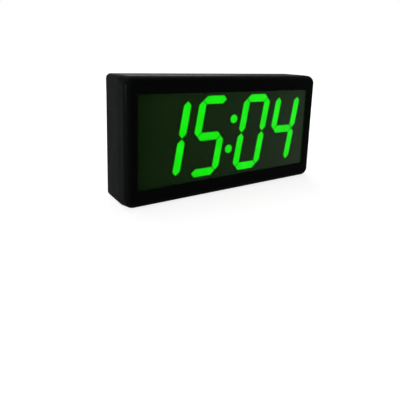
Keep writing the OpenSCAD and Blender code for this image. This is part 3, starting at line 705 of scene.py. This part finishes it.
def block(size: Place, middle: Place) -> Solid:
    """Makes a box.

    Args:
        size: Its sides in metres.
        middle: Where its middle is.

    Returns:
        The box.
    """
    bm = bmesh.new()
    bmesh.ops.create_cube(bm, size=1.0)
    bmesh.ops.scale(bm, vec=size, verts=bm.verts)
    bmesh.ops.translate(bm, vec=middle, verts=bm.verts)
    return bm


def rounded_ring(width: float, height: float, radius: float, steps: int = 8) -> list[Pair]:
    """Points of a rectangle with round corners, counter-clockwise.

    Args:
        width: Its width.
        height: Its height.
        radius: Its corner radius.
        steps: Points on each corner.

    Returns:
        The outline's points.
    """
    points = []
    for k, (sx, sy) in enumerate(((1, 1), (-1, 1), (-1, -1), (1, -1))):
        for i in range(steps):
            a = QUARTER_TURN * (k + i / (steps - 1))
            points.append((sx * (width / 2 - radius) + radius * math.cos(a),
                           sy * (height / 2 - radius) + radius * math.sin(a)))
    return points


def loft(rings: Sequence[Sequence[Place]]) -> Solid:
    """Skins a stack of rings and closes both ends.

    Args:
        rings: Rings of as many points each.

    Returns:
        The closed mesh.
    """
    bm = bmesh.new()
    rows = [[bm.verts.new(p) for p in ring] for ring in rings]
    count = len(rows[0])
    for low, high in zip(rows, rows[1:]):
        for i in range(count):
            j = (i + 1) % count
            bm.faces.new((low[i], low[j], high[j], high[i]))
    bm.faces.new(rows[0][::-1])
    bm.faces.new(rows[-1])
    bmesh.ops.recalc_face_normals(bm, faces=bm.faces)
    return bm


class ShapeTree(Graph):
    """A Geometry Nodes tree with named sizes, which ends as one plain mesh."""

    def __init__(self, name: str) -> None:
        """Starts a tree that takes and gives geometry.

        Args:
            name: The tree's name.
        """
        super().__init__(bpy.data.node_groups.new(name, "GeometryNodeTree"))
        self.tree.is_modifier = True
        for way in ("INPUT", "OUTPUT"):
            self.tree.interface.new_socket("Geometry", in_out=way, socket_type="NodeSocketGeometry")
        self.source = self.node("NodeGroupInput")
        self.sink = self.node("NodeGroupOutput")

    def size(self, name: str, whole: bool = False) -> Socket:
        """Adds a named input.

        Args:
            name: The input's name.
            whole: Whether it is a count.

        Returns:
            The socket that gives its value inside the tree.
        """
        kind = "NodeSocketInt" if whole else "NodeSocketFloat"
        self.tree.interface.new_socket(name, in_out="INPUT", socket_type=kind)
        return self.source.outputs[name]

    def vector(self, x: Feed, y: Feed, z: Feed) -> Socket:
        """Joins three numbers or sockets to a vector."""
        return self.node("ShaderNodeCombineXYZ", {0: x, 1: y, 2: z}).outputs[0]

    def close(self, geometry: Node, material: Material, smooth: bool = True) -> None:
        """Ends the tree in real, finished geometry.

        Args:
            geometry: The node that makes the shape.
            material: Its finish.
            smooth: Whether its faces are smooth.
        """
        real = self.node("GeometryNodeRealizeInstances", {0: geometry})
        shaded = self.node("GeometryNodeSetShadeSmooth", {0: real, "Shade Smooth": smooth})
        dressed = self.node("GeometryNodeSetMaterial", {0: shaded, "Material": material})
        self.feed(self.sink.inputs[0], dressed)

    def grow(self, name: str, base: bpy.types.Mesh, sizes: dict[str, float]) -> Thing:
        """Runs the tree on a mesh and keeps the result as a plain mesh.

        Args:
            name: Name of the new piece.
            base: The mesh that goes in.
            sizes: Values of the named inputs.

        Returns:
            The new object.
        """
        thing = new_object(name, base)
        modifier = thing.modifiers.new(name, "NODES")
        modifier.node_group = self.tree
        for item in self.tree.interface.items_tree:
            if item.in_out == "INPUT" and item.name in sizes:
                modifier[item.identifier] = sizes[item.name]
        return plain(thing)


def seat(thing: Thing, body: Body, slot: Slot | None, *nodes: str) -> Thing:
    """Puts a finished piece on its body.

    Args:
        thing: The piece.
        body: The CAD body that it rides on.
        slot: The record's slot, if it has one; not used.
        nodes: CAD nodes that it stands for.

    Returns:
        The piece.
    """
    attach(thing, body.value)
    if nodes:
        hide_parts(*nodes)
    LOG.info("piece %s rides %s for %s", thing.name, body.value, nodes)
    return thing


def stand_in(book: FinishBook, node: str, name: str, edge_r: float, slot: Slot,
             body: Body = Body.CASE, steps: int = 2, choose: EdgeTest | None = None) -> Thing:
    """Puts a copy with rounded edges, in its slot's finish, in a CAD node's place.

    Args:
        book: The finishes.
        node: The CAD node.
        name: Name of the new piece.
        edge_r: Width of the rounding in metres.
        slot: The record's slot that it takes.
        body: The CAD body that it rides on.
        steps: Facets across the rounding.
        choose: Which of the sharp edges are rounded, all of them if left out.

    Returns:
        The new piece.
    """
    copy = painted(softened(node, name, edge_r, steps, choose), book.of(slot))
    return seat(copy, body, slot, node)


# Camera, light and floor


@dataclass
class PhotoCamera:
    """The camera of the photograph's front view.

    Attributes:
        place: Where it stands, in metres.
        yaw: Turn to the right of straight ahead, in degrees.
        pitch: Tilt downwards, in degrees.
        roll: Turn about its own axis, in degrees.
        lens: Focal length in millimetres.
        sensor: Width of the sensor in millimetres.
        shift: Shift of the frame across and up.
        near: Distance from which it sees, in metres.
    """

    place: Place = (-0.3173, -0.4386, 0.1832)
    yaw: float = 34.311
    pitch: float = 10.791
    roll: float = 1.982
    lens: float = 34.837
    sensor: float = 36.0
    shift: Pair = (-0.0249, -0.1762)
    near: float = 0.01

    def build(self) -> None:
        """Makes the camera and gives it to the scene."""
        yaw, pitch, roll = (math.radians(a) for a in (self.yaw, self.pitch, self.roll))
        level = math.cos(pitch)
        ahead = Vector((math.sin(yaw) * level, math.cos(yaw) * level, -math.sin(pitch)))
        right = Vector((math.cos(yaw), -math.sin(yaw), 0.0))
        up = right.cross(ahead)
        side = math.cos(roll) * right + math.sin(roll) * up
        top = math.cos(roll) * up - math.sin(roll) * right
        turn = Matrix((side, top, -ahead)).transposed().to_4x4()
        data = bpy.data.cameras.new("photo_camera")
        data.sensor_width = self.sensor
        data.lens = self.lens
        data.shift_x, data.shift_y = self.shift
        data.clip_start = self.near
        camera = new_object("photo_camera", data)
        camera.matrix_world = Matrix.Translation(self.place) @ turn
        bpy.context.scene.camera = camera


@dataclass(frozen=True)
class SoftBox:
    """An area lamp that looks at a point.

    Attributes:
        name: Its name.
        place: Where it stands, in metres.
        target: Where it looks.
        size: Its side in metres.
        power: Its power in watts.
    """

    name: str
    place: Place
    target: Place
    size: float
    power: float

    def build(self) -> None:
        """Makes the lamp."""
        data = bpy.data.lights.new(self.name, "AREA")
        data.size = self.size
        data.energy = self.power
        lamp = new_object(self.name, data)
        lamp.location = self.place
        lamp.rotation_mode = "QUATERNION"
        aim = Vector(self.target) - Vector(self.place)
        lamp.rotation_quaternion = aim.to_track_quat("-Z", "Y")


@dataclass
class Studio:
    """White floor and background with soft lamps.

    Attributes:
        lamps: The soft lamps round the clock.
        floor_size: Side of the floor in metres.
        floor_colours: Grey of the floor under the light, and in its faint clouds.
        floor_patch: Clouds on the floor for each metre.
        floor_rough: Its roughness.
        floor_near: White that the floor shows of itself round the clock, besides the light on it.
        floor_far: White that it shows of itself away from the clock.
        floor_reach: Where the near part ends and the far part starts, in metres.
        room_front: Light from the room in front of the clock.
        room_back: Light from the room behind it.
        room_turn: Where the front part ends and the back part starts, as the Y of a direction.
    """

    lamps: tuple[SoftBox, ...] = (
        SoftBox("left_box", (-1.25, -0.15, 0.2), (-0.1, 0.0, 0.1), size=0.3, power=13.0),
        SoftBox("top_box", (0.1, 0.35, 1.3), (0.0, 0.05, 0.05), size=1.1, power=9.0),
        SoftBox("back_box", (0.5, 1.3, 0.6), (0.0, 0.03, 0.08), size=0.9, power=9.0),
    )
    floor_size: float = 60.0
    floor_colours: tuple[Colour, Colour] = ((0.3, 0.3, 0.3), (0.31, 0.31, 0.31))
    floor_patch: float = 3.0
    floor_rough: float = 0.9
    floor_near: float = 0.82
    floor_far: float = 1.0
    floor_reach: Pair = (0.2, 0.7)
    room_front: float = 0.06
    room_back: float = 0.6
    room_turn: Pair = (-0.4, 0.6)

    def build(self) -> None:
        """Makes the world, the floor and the lamps."""
        bpy.context.scene.view_settings.view_transform = "Standard"
        self.build_world()
        self.build_floor()
        for lamp in self.lamps:
            lamp.build()

    def looked_at(self, graph: Graph) -> Socket:
        """Adds a switch for rays that show the background itself.

        Args:
            graph: The nodes of the world or of the floor.

        Returns:
            1 for camera, glossy and transmission rays, 0 for others.
        """
        rays = graph.node("ShaderNodeLightPath").outputs
        shown = rays["Is Camera Ray"]
        for name in ("Is Glossy Ray", "Is Transmission Ray"):
            shown = graph.calc("MAXIMUM", shown, rays[name])
        return shown

    def build_world(self) -> None:
        """Makes a white background with a darker room in front of the clock."""
        world = bpy.data.worlds.new("studio")
        bpy.context.scene.world = world
        world.use_nodes = True
        graph = Graph(world.node_tree)
        graph.tree.nodes.clear()
        aim = graph.node("ShaderNodeTexCoord").outputs["Generated"]
        way = graph.node("ShaderNodeSeparateXYZ", {0: aim}).outputs["Y"]
        room = graph.span(way, self.room_front, self.room_back, *self.room_turn)
        level = graph.calc("MAXIMUM", room, self.looked_at(graph))
        sky = graph.node("ShaderNodeBackground", {"Color": WHITE, "Strength": level})
        graph.node("ShaderNodeOutputWorld", {"Surface": sky})

    def build_floor(self) -> None:
        """Makes a white floor that keeps the clock's shadow."""
        half = self.floor_size / 2
        corners = ((-half, -half), (half, -half), (half, half), (-half, half))
        bm = bmesh.new()
        bm.faces.new([bm.verts.new((x, y, 0.0)) for x, y in corners])
        floor = new_object("floor", mesh_from(bm, "floor"))
        shader = Shader("floor_white")
        shader.paint(shader.noise(self.floor_patch), *self.floor_colours)
        away = shader.node("ShaderNodeVectorMath", {0: shader.place}, operation="LENGTH")
        white = shader.span(
            away.outputs["Value"], self.floor_near, self.floor_far, *self.floor_reach)
        shader.set({"Roughness": self.floor_rough, "Specular IOR Level": 0.0,
                    "Emission Color": WHITE,
                    "Emission Strength": shader.calc("MULTIPLY", white, self.looked_at(shader))})
        painted(floor, shader.material)


# The network lead


@dataclass
class Coil:
    """The lead's put-away length: turns that spiral in on the floor and out on top.

    Attributes:
        middle: Middle of the coil on the floor, in millimetres.
        radius: Radius of the outer turns.
        turns: How many turns it has.
        pitch: Distance between neighbouring turns, and between the two layers.
        low: Height of the lower layer's middle.
        climb: Part of a turn over which it rises to the upper layer.
        steps: Points on each turn.
        lead_in: Straight stretch at each end.
    """

    middle: Pair = (96.0, 67.4)
    radius: float = 32.0
    turns: int = 3
    pitch: float = 6.1
    low: float = 3.4
    climb: float = 0.5
    steps: int = 24
    lead_in: float = 5.5

    def points(self) -> list[Place]:
        """Follows the coil from the floor to its top.

        Returns:
            The path's points in millimetres.
        """
        x, y = self.middle
        half = self.turns / 2
        path = [(x + self.lead_in, y + self.radius, self.low)]
        for i in range(self.turns * self.steps + 1):
            turn = i / self.steps
            back = half - turn
            radius = self.radius - self.pitch * (half - abs(back))
            share = min(1.0, max(0.0, 0.5 - back / self.climb))
            rise = self.pitch * share * share * (3.0 - 2.0 * share)
            angle = math.radians(90.0 + 360.0 * turn)
            path.append((x + radius * math.cos(angle), y + radius * math.sin(angle),
                         self.low + rise))
        path.append((x - self.lead_in, y + self.radius, self.low + self.pitch))
        return path


# Points of the lead from the boot down the back of the clock, in millimetres
RUN_DOWN = (
    (-2.0, 22.0, 86.0), (9.0, 23.0, 84.0), (19.0, 26.5, 79.0), (29.0, 31.5, 72.5),
    (39.0, 36.0, 65.5), (50.0, 37.5, 58.0), (63.0, 37.5, 49.5), (77.0, 37.5, 40.5),
    (91.0, 37.5, 32.5), (105.0, 38.0, 25.5), (119.0, 39.5, 19.5), (133.0, 42.5, 14.5),
    (145.2, 46.2, 10.8), (153.5, 50.3, 8.3), (160.1, 56.9, 6.4), (164.1, 65.4, 4.8),
    (164.9, 74.8, 3.7), (162.5, 83.8, 3.2), (157.1, 91.5, 3.0), (149.4, 96.9, 3.0),
    (140.4, 99.3, 3.1), (128.0, 99.4, 3.3), (114.0, 99.4, 3.4),
)
# Points of the lead from the coil down to the far plug, in millimetres
RUN_OUT = (
    (84.0, 99.4, 9.5), (74.0, 99.2, 8.4), (64.0, 98.6, 6.4), (54.0, 97.7, 4.8), (44.0, 96.8, 3.8),
    (34.0, 96.2, 3.2), (20.0, 96.0, 3.0), (4.0, 96.0, 3.0), (-10.0, 96.0, 3.5), (-19.0, 96.0, 4.2),
)


def smooth_line(points: Sequence[Vector], parts: int) -> list[Vector]:
    """Draws a smooth line through points.

    Args:
        points: The points that it passes.
        parts: Pieces between two neighbours.

    Returns:
        The line's points.
    """
    ends = [2 * points[0] - points[1], *points, 2 * points[-1] - points[-2]]
    line = []
    for a, b, c, d in zip(ends, ends[1:], ends[2:], ends[3:]):
        for k in range(parts):
            t = k / parts
            line.append(0.5 * (2 * b + (c - a) * t + (2 * a - 5 * b + 4 * c - d) * t ** 2
                               + (3 * b - a - 3 * c + d) * t ** 3))
    return [*line, points[-1]]


@dataclass
class NetworkLead:
    """The white cable from the plug in the clock to the far plug, and the strap round its coil.

    Attributes:
        diameter: Diameter of the cable in metres.
        length: Length of the cable between its boots in metres.
        sides: Facets round the cable.
        parts: Pieces of the line between two of its points.
        strap_edge: Rounding of the strap's edges in metres.
    """

    diameter: float = 0.0055
    length: float = 0.94
    sides: int = 20
    parts: int = 3
    strap_edge: float = 0.0002

    def mouth(self, boot: str) -> Vector:
        """The point in metres where the cable leaves a boot, given by its CAD node."""
        low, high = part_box(boot)
        return Vector((high.x, (low.y + high.y) / 2, (low.z + high.z) / 2))

    def path(self) -> list[Vector]:
        """Follows the cable's middle from boot to boot.

        Returns:
            The line's points in metres.
        """
        between = [MM * Vector(p) for p in (*RUN_DOWN, *Coil().points(), *RUN_OUT)]
        points = [self.mouth("plug_boot"), *between, self.mouth("far_plug_boot")]
        return smooth_line(points, self.parts)

    def build(self, book: FinishBook, with_pieces: Sequence[Thing]) -> None:
        """Args:
            book: The finishes.
            with_pieces: The plugs and what else is on the cable; not used.
        """
        path = self.path()
        line = bpy.data.meshes.new("cable_line")
        line.from_pydata(path, [(i, i + 1) for i in range(len(path) - 1)], [])
        tree = ShapeTree("swept_cable")
        radius = tree.size("Radius")
        sides = tree.size("Sides", whole=True)
        curve = tree.node("GeometryNodeMeshToCurve", {"Mesh": tree.source})
        ring = tree.node("GeometryNodeCurvePrimitiveCircle", {
            "Resolution": sides, "Radius": radius})
        swept = tree.node("GeometryNodeCurveToMesh", {
            "Curve": curve, "Profile Curve": ring, "Fill Caps": True})
        tree.close(swept, book.of(Slot.CABLE))
        cable = tree.grow("network_cable", line, {"Radius": self.diameter / 2, "Sides": self.sides})
        seat(cable, Body.CASE, Slot.CABLE, "network_lead", "lead_coil", "lead_tail")
        strap = stand_in(book, "lead_tie", "lead_strap", self.strap_edge, Slot.TIE)


@dataclass
class Plug:
    """One network plug: clear body with contacts, gold shield, latch and ribbed boot.

    Attributes:
        prefix: What its CAD nodes' names start with.
        latch_body: The CAD body of its latch.
        flat: Whether it lies on the floor with its latch up.
        edge: Rounding of the body's and the shield's edges, in metres as all that follow.
        latch_edge: Rounding of the latch's edges.
        contacts: Contact blades in the nose.
        contact_pitch: Distance between them.
        blade_size: Length, depth and thickness of a blade.
        blade_place: Its middle's place behind the nose and towards the latch.
        blade_edge: Bevel of its edges.
        boot_section: Width, thickness and corner radius of the boot.
        boot_length: Length of the boot's square part.
        boot_front: Length of its rounded front, and what its section and corners lose there.
        boot_slit: Length, depth and width of the slit in it.
        relief_length: Length of the strain relief.
        relief_ends: Diameters of the strain relief at the boot and at its tip.
        relief_sunk: How far it starts inside the boot.
        relief_sides: Facets round it.
        core_inset: How far its core lies below its ends' radii, at the boot and at its tip.
        ribs: Rings on the strain relief.
        rib_thick: How far a ring reaches inwards.
        rib_start: Place of the first ring, in parts of their pitch.
        rib_width: Width of a ring, in parts of their pitch.
        rib_round: Rounding of a ring's edges.
        rib_steps: Facets across that rounding.
    """

    prefix: str
    latch_body: Body
    flat: bool
    edge: float = 0.00012
    latch_edge: float = 0.00018
    contacts: int = 8
    contact_pitch: float = 0.00102
    blade_size: Place = (0.0026, 0.00062, 0.00038)
    blade_place: Pair = (0.0019, -0.00312)
    blade_edge: float = 0.00008
    boot_section: Place = (0.01168, 0.009, 0.0014)
    boot_length: float = 0.0105
    boot_front: Place = (0.0003, 0.0005, 0.0002)
    boot_slit: Place = (0.0015, 0.0012, 0.005)
    relief_length: float = 0.0092
    relief_ends: Pair = (0.0083, 0.0064)
    relief_sunk: float = 0.0002
    relief_sides: int = 40
    core_inset: Pair = (0.0007, 0.0003)
    ribs: int = 4
    rib_thick: float = 0.0011
    rib_start: float = 0.72
    rib_width: float = 0.55
    rib_round: float = 0.0003
    rib_steps: int = 4

    def frame(self) -> Matrix:
        """Finds the plug's own frame: its lead along +X, its latch towards +Y.

        Returns:
            The frame, with the plug's nose at its origin.
        """
        low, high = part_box(self.prefix + "plug_body")
        middle = (low + high) / 2
        turn = Matrix.Rotation(QUARTER_TURN, 4, "X") if self.flat else Matrix.Identity(4)
        return Matrix.Translation((low.x, middle.y, middle.z)) @ turn

    def build(self, book: FinishBook) -> list[Thing]:
        """Makes the plug's pieces.

        Args:
            book: The finishes.

        Returns:
            The pieces, which go with the cable.
        """
        name = self.prefix + "plug_"
        return [
            stand_in(book, name + "body", name + "nose", self.edge, Slot.CLEAR),
            stand_in(book, name + "shield", name + "sleeve", self.edge, Slot.SHIELD),
            stand_in(book, name + "latch", name + "tab", self.latch_edge, Slot.CLEAR,
                     self.latch_body),
            self.blades(book),
            self.boot(book),
        ]

    def blades(self, book: FinishBook) -> Thing:
        """Makes the row of contact blades in the nose.

        Args:
            book: The finishes.

        Returns:
            The row.
        """
        tree = ShapeTree(self.prefix + "contact_row")
        count = tree.size("Count", whole=True)
        pitch = tree.size("Pitch")
        row = tree.node("GeometryNodeMeshLine", {
            "Count": count, "Offset": tree.vector(0.0, 0.0, pitch)})
        spread = tree.node("GeometryNodeInstanceOnPoints", {"Points": row, "Instance": tree.source})
        tree.close(spread, book.of(Slot.CONTACT), smooth=False)
        first = -self.contact_pitch * (self.contacts - 1) / 2
        blade = block(self.blade_size, (*self.blade_place, first))
        bmesh.ops.bevel(blade, geom=blade.edges[:], offset=self.blade_edge, segments=1,
                        affect="EDGES")
        thing = tree.grow(self.prefix + "plug_blades", mesh_from(blade, "blade"), {
            "Count": self.contacts, "Pitch": self.contact_pitch})
        thing.data.transform(self.frame())
        return seat(thing, Body.CASE, Slot.CONTACT)

    def boot_rings(self) -> list[list[Place]]:
        """Draws the boot's outlines from its front to the strain relief.

        Returns:
            The outlines' points.
        """
        width, thick, corner = self.boot_section
        length, root = self.boot_length, self.relief_ends[0]
        run, less, corner_less = self.boot_front
        # Each row gives a place along the boot, its width, its thickness and its corner radius
        sections = (
            (0.0, width - less, thick - less, corner - corner_less),
            (run, width, thick, corner),
            (0.62 * length, width, thick, corner),
            (0.8 * length, 0.93 * width, 0.97 * thick, 1.5 * corner),
            (0.93 * length, 0.95 * (width + root) / 2, 1.03 * root, 0.4 * root),
            (length, root, root, 0.4999 * root),
        )
        return [[(x, y, s) for x, y in rounded_ring(w, t, r)] for s, w, t, r in sections]

    def slit(self, body: Solid) -> Solid:
        """Cuts the slit for the latch into the boot.

        Args:
            body: The boot's mesh, which is used up.

        Returns:
            The cut and shaded mesh.
        """
        along, deep, across = self.boot_slit
        middle = (0.0, self.boot_section[1] / 2, self.boot_length / 4 + along / 2)
        cutter = block((across, 2 * deep, along), middle)
        whole = new_object("boot_whole", mesh_from(body, "boot_whole"))
        tool = new_object("boot_cutter", mesh_from(cutter, "boot_cutter"))
        cut = whole.modifiers.new("slit", "BOOLEAN")
        cut.operation = "DIFFERENCE"
        cut.object = tool
        result = bmesh.new()
        result.from_mesh(plain(whole).data)
        for thing in (whole, tool):
            bpy.data.objects.remove(thing)
        shade(result)
        return result

    def relief(self, book: FinishBook) -> ShapeTree:
        """Wires the strain relief: a core with rings that get smaller towards its tip.

        Args:
            book: The finishes.

        Returns:
            The tree, which joins the strain relief to a boot.
        """
        tree = ShapeTree(self.prefix + "ribbed_relief")
        start, length, root, tip, thick = (
            tree.size(name) for name in ("Start", "Length", "Root", "Tip", "Thick"))
        count = tree.size("Ribs", whole=True)
        pitch = tree.calc("DIVIDE", length, count)
        first = tree.calc("ADD", start, tree.calc("MULTIPLY", pitch, self.rib_start))
        row = tree.node("GeometryNodeMeshLine", {
            "Count": count, "Start Location": tree.vector(0.0, 0.0, first),
            "Offset": tree.vector(0.0, 0.0, pitch)})
        ring = tree.node("GeometryNodeCurvePrimitiveCircle", {
            "Resolution": self.relief_sides,
            "Radius": tree.calc("SUBTRACT", root, tree.calc("DIVIDE", thick, 2.0))})
        section = tree.node("GeometryNodeCurvePrimitiveQuadrilateral", {
            "Width": thick, "Height": tree.calc("MULTIPLY", pitch, self.rib_width)})
        rounded = tree.node("GeometryNodeFilletCurve", {
            "Curve": section, "Count": self.rib_steps, "Radius": self.rib_round}, mode="POLY")
        rib = tree.node("GeometryNodeCurveToMesh", {"Curve": ring, "Profile Curve": rounded})
        last = tree.calc("SUBTRACT", count, 1.0)
        share = tree.calc("DIVIDE", tree.node("GeometryNodeInputIndex"), last)
        taper = tree.calc("SUBTRACT", 1.0, tree.calc("DIVIDE", tip, root))
        shrink = tree.calc("SUBTRACT", 1.0, tree.calc("MULTIPLY", share, taper))
        spread = tree.node("GeometryNodeInstanceOnPoints", {
            "Points": row, "Instance": rib, "Scale": tree.vector(shrink, shrink, 1.0)})
        root_inset, tip_inset = self.core_inset
        core = tree.node("GeometryNodeMeshCone", {
            "Vertices": self.relief_sides, "Radius Top": tree.calc("SUBTRACT", tip, tip_inset),
            "Radius Bottom": tree.calc("SUBTRACT", root, root_inset), "Depth": length})
        placed = tree.node("GeometryNodeTransform", {
            "Geometry": core, "Translation": tree.vector(0.0, 0.0, start)})
        joined = tree.node("GeometryNodeJoinGeometry")
        for part in (tree.source, spread, placed):
            tree.feed(joined.inputs["Geometry"], part)
        tree.close(joined, book.of(Slot.BOOT))
        return tree

    def boot(self, book: FinishBook) -> Thing:
        """Makes the boot and the ribbed strain relief behind it.

        Args:
            book: The finishes.

        Returns:
            The boot.
        """
        body = self.slit(loft(self.boot_rings()))
        root, tip = self.relief_ends
        thing = self.relief(book).grow(self.prefix + "ribbed_boot", mesh_from(body, "boot"), {
            "Start": self.boot_length - self.relief_sunk, "Length": self.relief_length,
            "Root": root / 2, "Tip": tip / 2, "Thick": self.rib_thick, "Ribs": self.ribs})
        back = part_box(self.prefix + "plug_boot")[0].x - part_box(self.prefix + "plug_body")[0].x
        along = Matrix.Translation((back, 0.0, 0.0)) @ Matrix.Rotation(QUARTER_TURN, 4, "Y")
        thing.data.transform(self.frame() @ along)
        return seat(thing, Body.CASE, Slot.BOOT, self.prefix + "plug_boot")


# The clock


@dataclass
class CaseShell:
    """The front frame and the rear cover.

    Attributes:
        window_edge: Rounding of the window's edge in metres.
        window_reach: How far from the clock's middle the window's edge may lie.
        mouth_edge: Rounding of the recess's and the keyholes' edges in metres.
        mouth_reach: How far from the clock's middle those edges may lie.
        mouth_rise: Heights between which they lie.
        flush: How close to a face an edge on it lies.
    """

    window_edge: float = 0.0004
    window_reach: float = 0.1405
    mouth_edge: float = 0.0007
    mouth_reach: float = 0.1345
    mouth_rise: Pair = (0.0035, 0.1555)
    flush: float = 1e-5

    def build(self, book: FinishBook) -> None:
        """Makes both mouldings.

        Args:
            book: The finishes.
        """
        front = softened("front_frame", "front_bezel", self.window_edge, choose=self.on_front)
        # The front frame takes the darker black, which holds painted shade on its front face.
        seat(painted(front, BEZEL_WITH_SHADE.make()), Body.CASE, Slot.CASE, "front_frame")
        stand_in(book, "rear_cover", "back_shell", self.mouth_edge, Slot.CASE, choose=self.on_back)

    def on_front(self, edge: bmesh.types.BMEdge) -> bool:
        """Tests for an edge round the window on the front face.

        Args:
            edge: The edge.

        Returns:
            Whether it is one.
        """
        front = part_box("front_frame")[0].y
        return all(abs(v.co.y - front) < self.flush and abs(v.co.x) < self.window_reach
                   for v in edge.verts)

    def on_back(self, edge: bmesh.types.BMEdge) -> bool:
        """Tests for an edge round the recess or a keyhole on the back face.

        Args:
            edge: The edge.

        Returns:
            Whether it is one.
        """
        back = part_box("rear_cover")[1].y
        low, high = self.mouth_rise
        return all(abs(v.co.y - back) < self.flush and abs(v.co.x) < self.mouth_reach
                   and low < v.co.z < high for v in edge.verts)


@dataclass
class Digits:
    """The glowing segments and the colon.

    Attributes:
        count: How many digits there are.
        edge: Rounding of a diffuser's edges in metres.
    """

    count: int = 4
    edge: float = 0.00025

    def build(self, book: FinishBook) -> None:
        """Makes the lit diffusers.

        Args:
            book: The finishes.
        """
        for k in range(1, self.count + 1):
            stand_in(book, f"digit_{k}_lit", f"digit_{k}_glow", self.edge, Slot.DIGIT)
        stand_in(book, "colon_dots", "colon_glow", self.edge, Slot.DIGIT)


@dataclass
class Recess:
    """The buttons and the blank label on the recess's wall.

    Attributes:
        cap_edge: Rounding of the button caps in metres.
        cap_steps: Facets across that rounding.
        wall: Where the wall stands across the clock.
        label_size: Depth and height of the label.
        label_middle: Its middle, as depth and height in the clock.
        label_corner: Its corner radius.
        label_thick: Its thickness.
    """

    cap_edge: float = 0.00045
    cap_steps: int = 3
    wall: float = -0.041
    label_size: Pair = (0.030, 0.0197)
    label_middle: Pair = (0.0145, 0.0567)
    label_corner: float = 0.0012
    label_thick: float = 0.00015

    def build(self, book: FinishBook) -> None:
        """Makes the caps and the label.

        Args:
            book: The finishes.
        """
        for cap, slot, body in (("red", Slot.RED, Body.RED), ("grey", Slot.GREY, Body.GREY)):
            stand_in(book, f"{cap}_button", f"{cap}_cap", self.cap_edge, slot, body, self.cap_steps)
        y, z = self.label_middle
        ring = rounded_ring(*self.label_size, self.label_corner)
        faces = (self.wall, self.wall + self.label_thick)
        bm = loft([[(x, y + a, z + b) for a, b in ring] for x in faces])
        shade(bm)
        label = painted(new_object("recess_label", mesh_from(bm, "recess_label")), LABEL.make())
        seat(label, Body.CASE, None)


def main() -> None:
    """Builds the scene, piece by piece."""
    logging.basicConfig(level=logging.INFO, format="%(relativeCreated)d ms %(message)s")
    PhotoCamera().build()
    book = FinishBook()
    book.dress_nodes()
    plugs = [Plug("", Body.LATCH, False), Plug("far_", Body.FAR_LATCH, True)]
    NetworkLead().build(book, [piece for plug in plugs for piece in plug.build(book)])
    CaseShell().build(book)
    Digits().build(book)
    Recess().build(book)
    Studio().build()


if __name__ == "__main__":
    main()
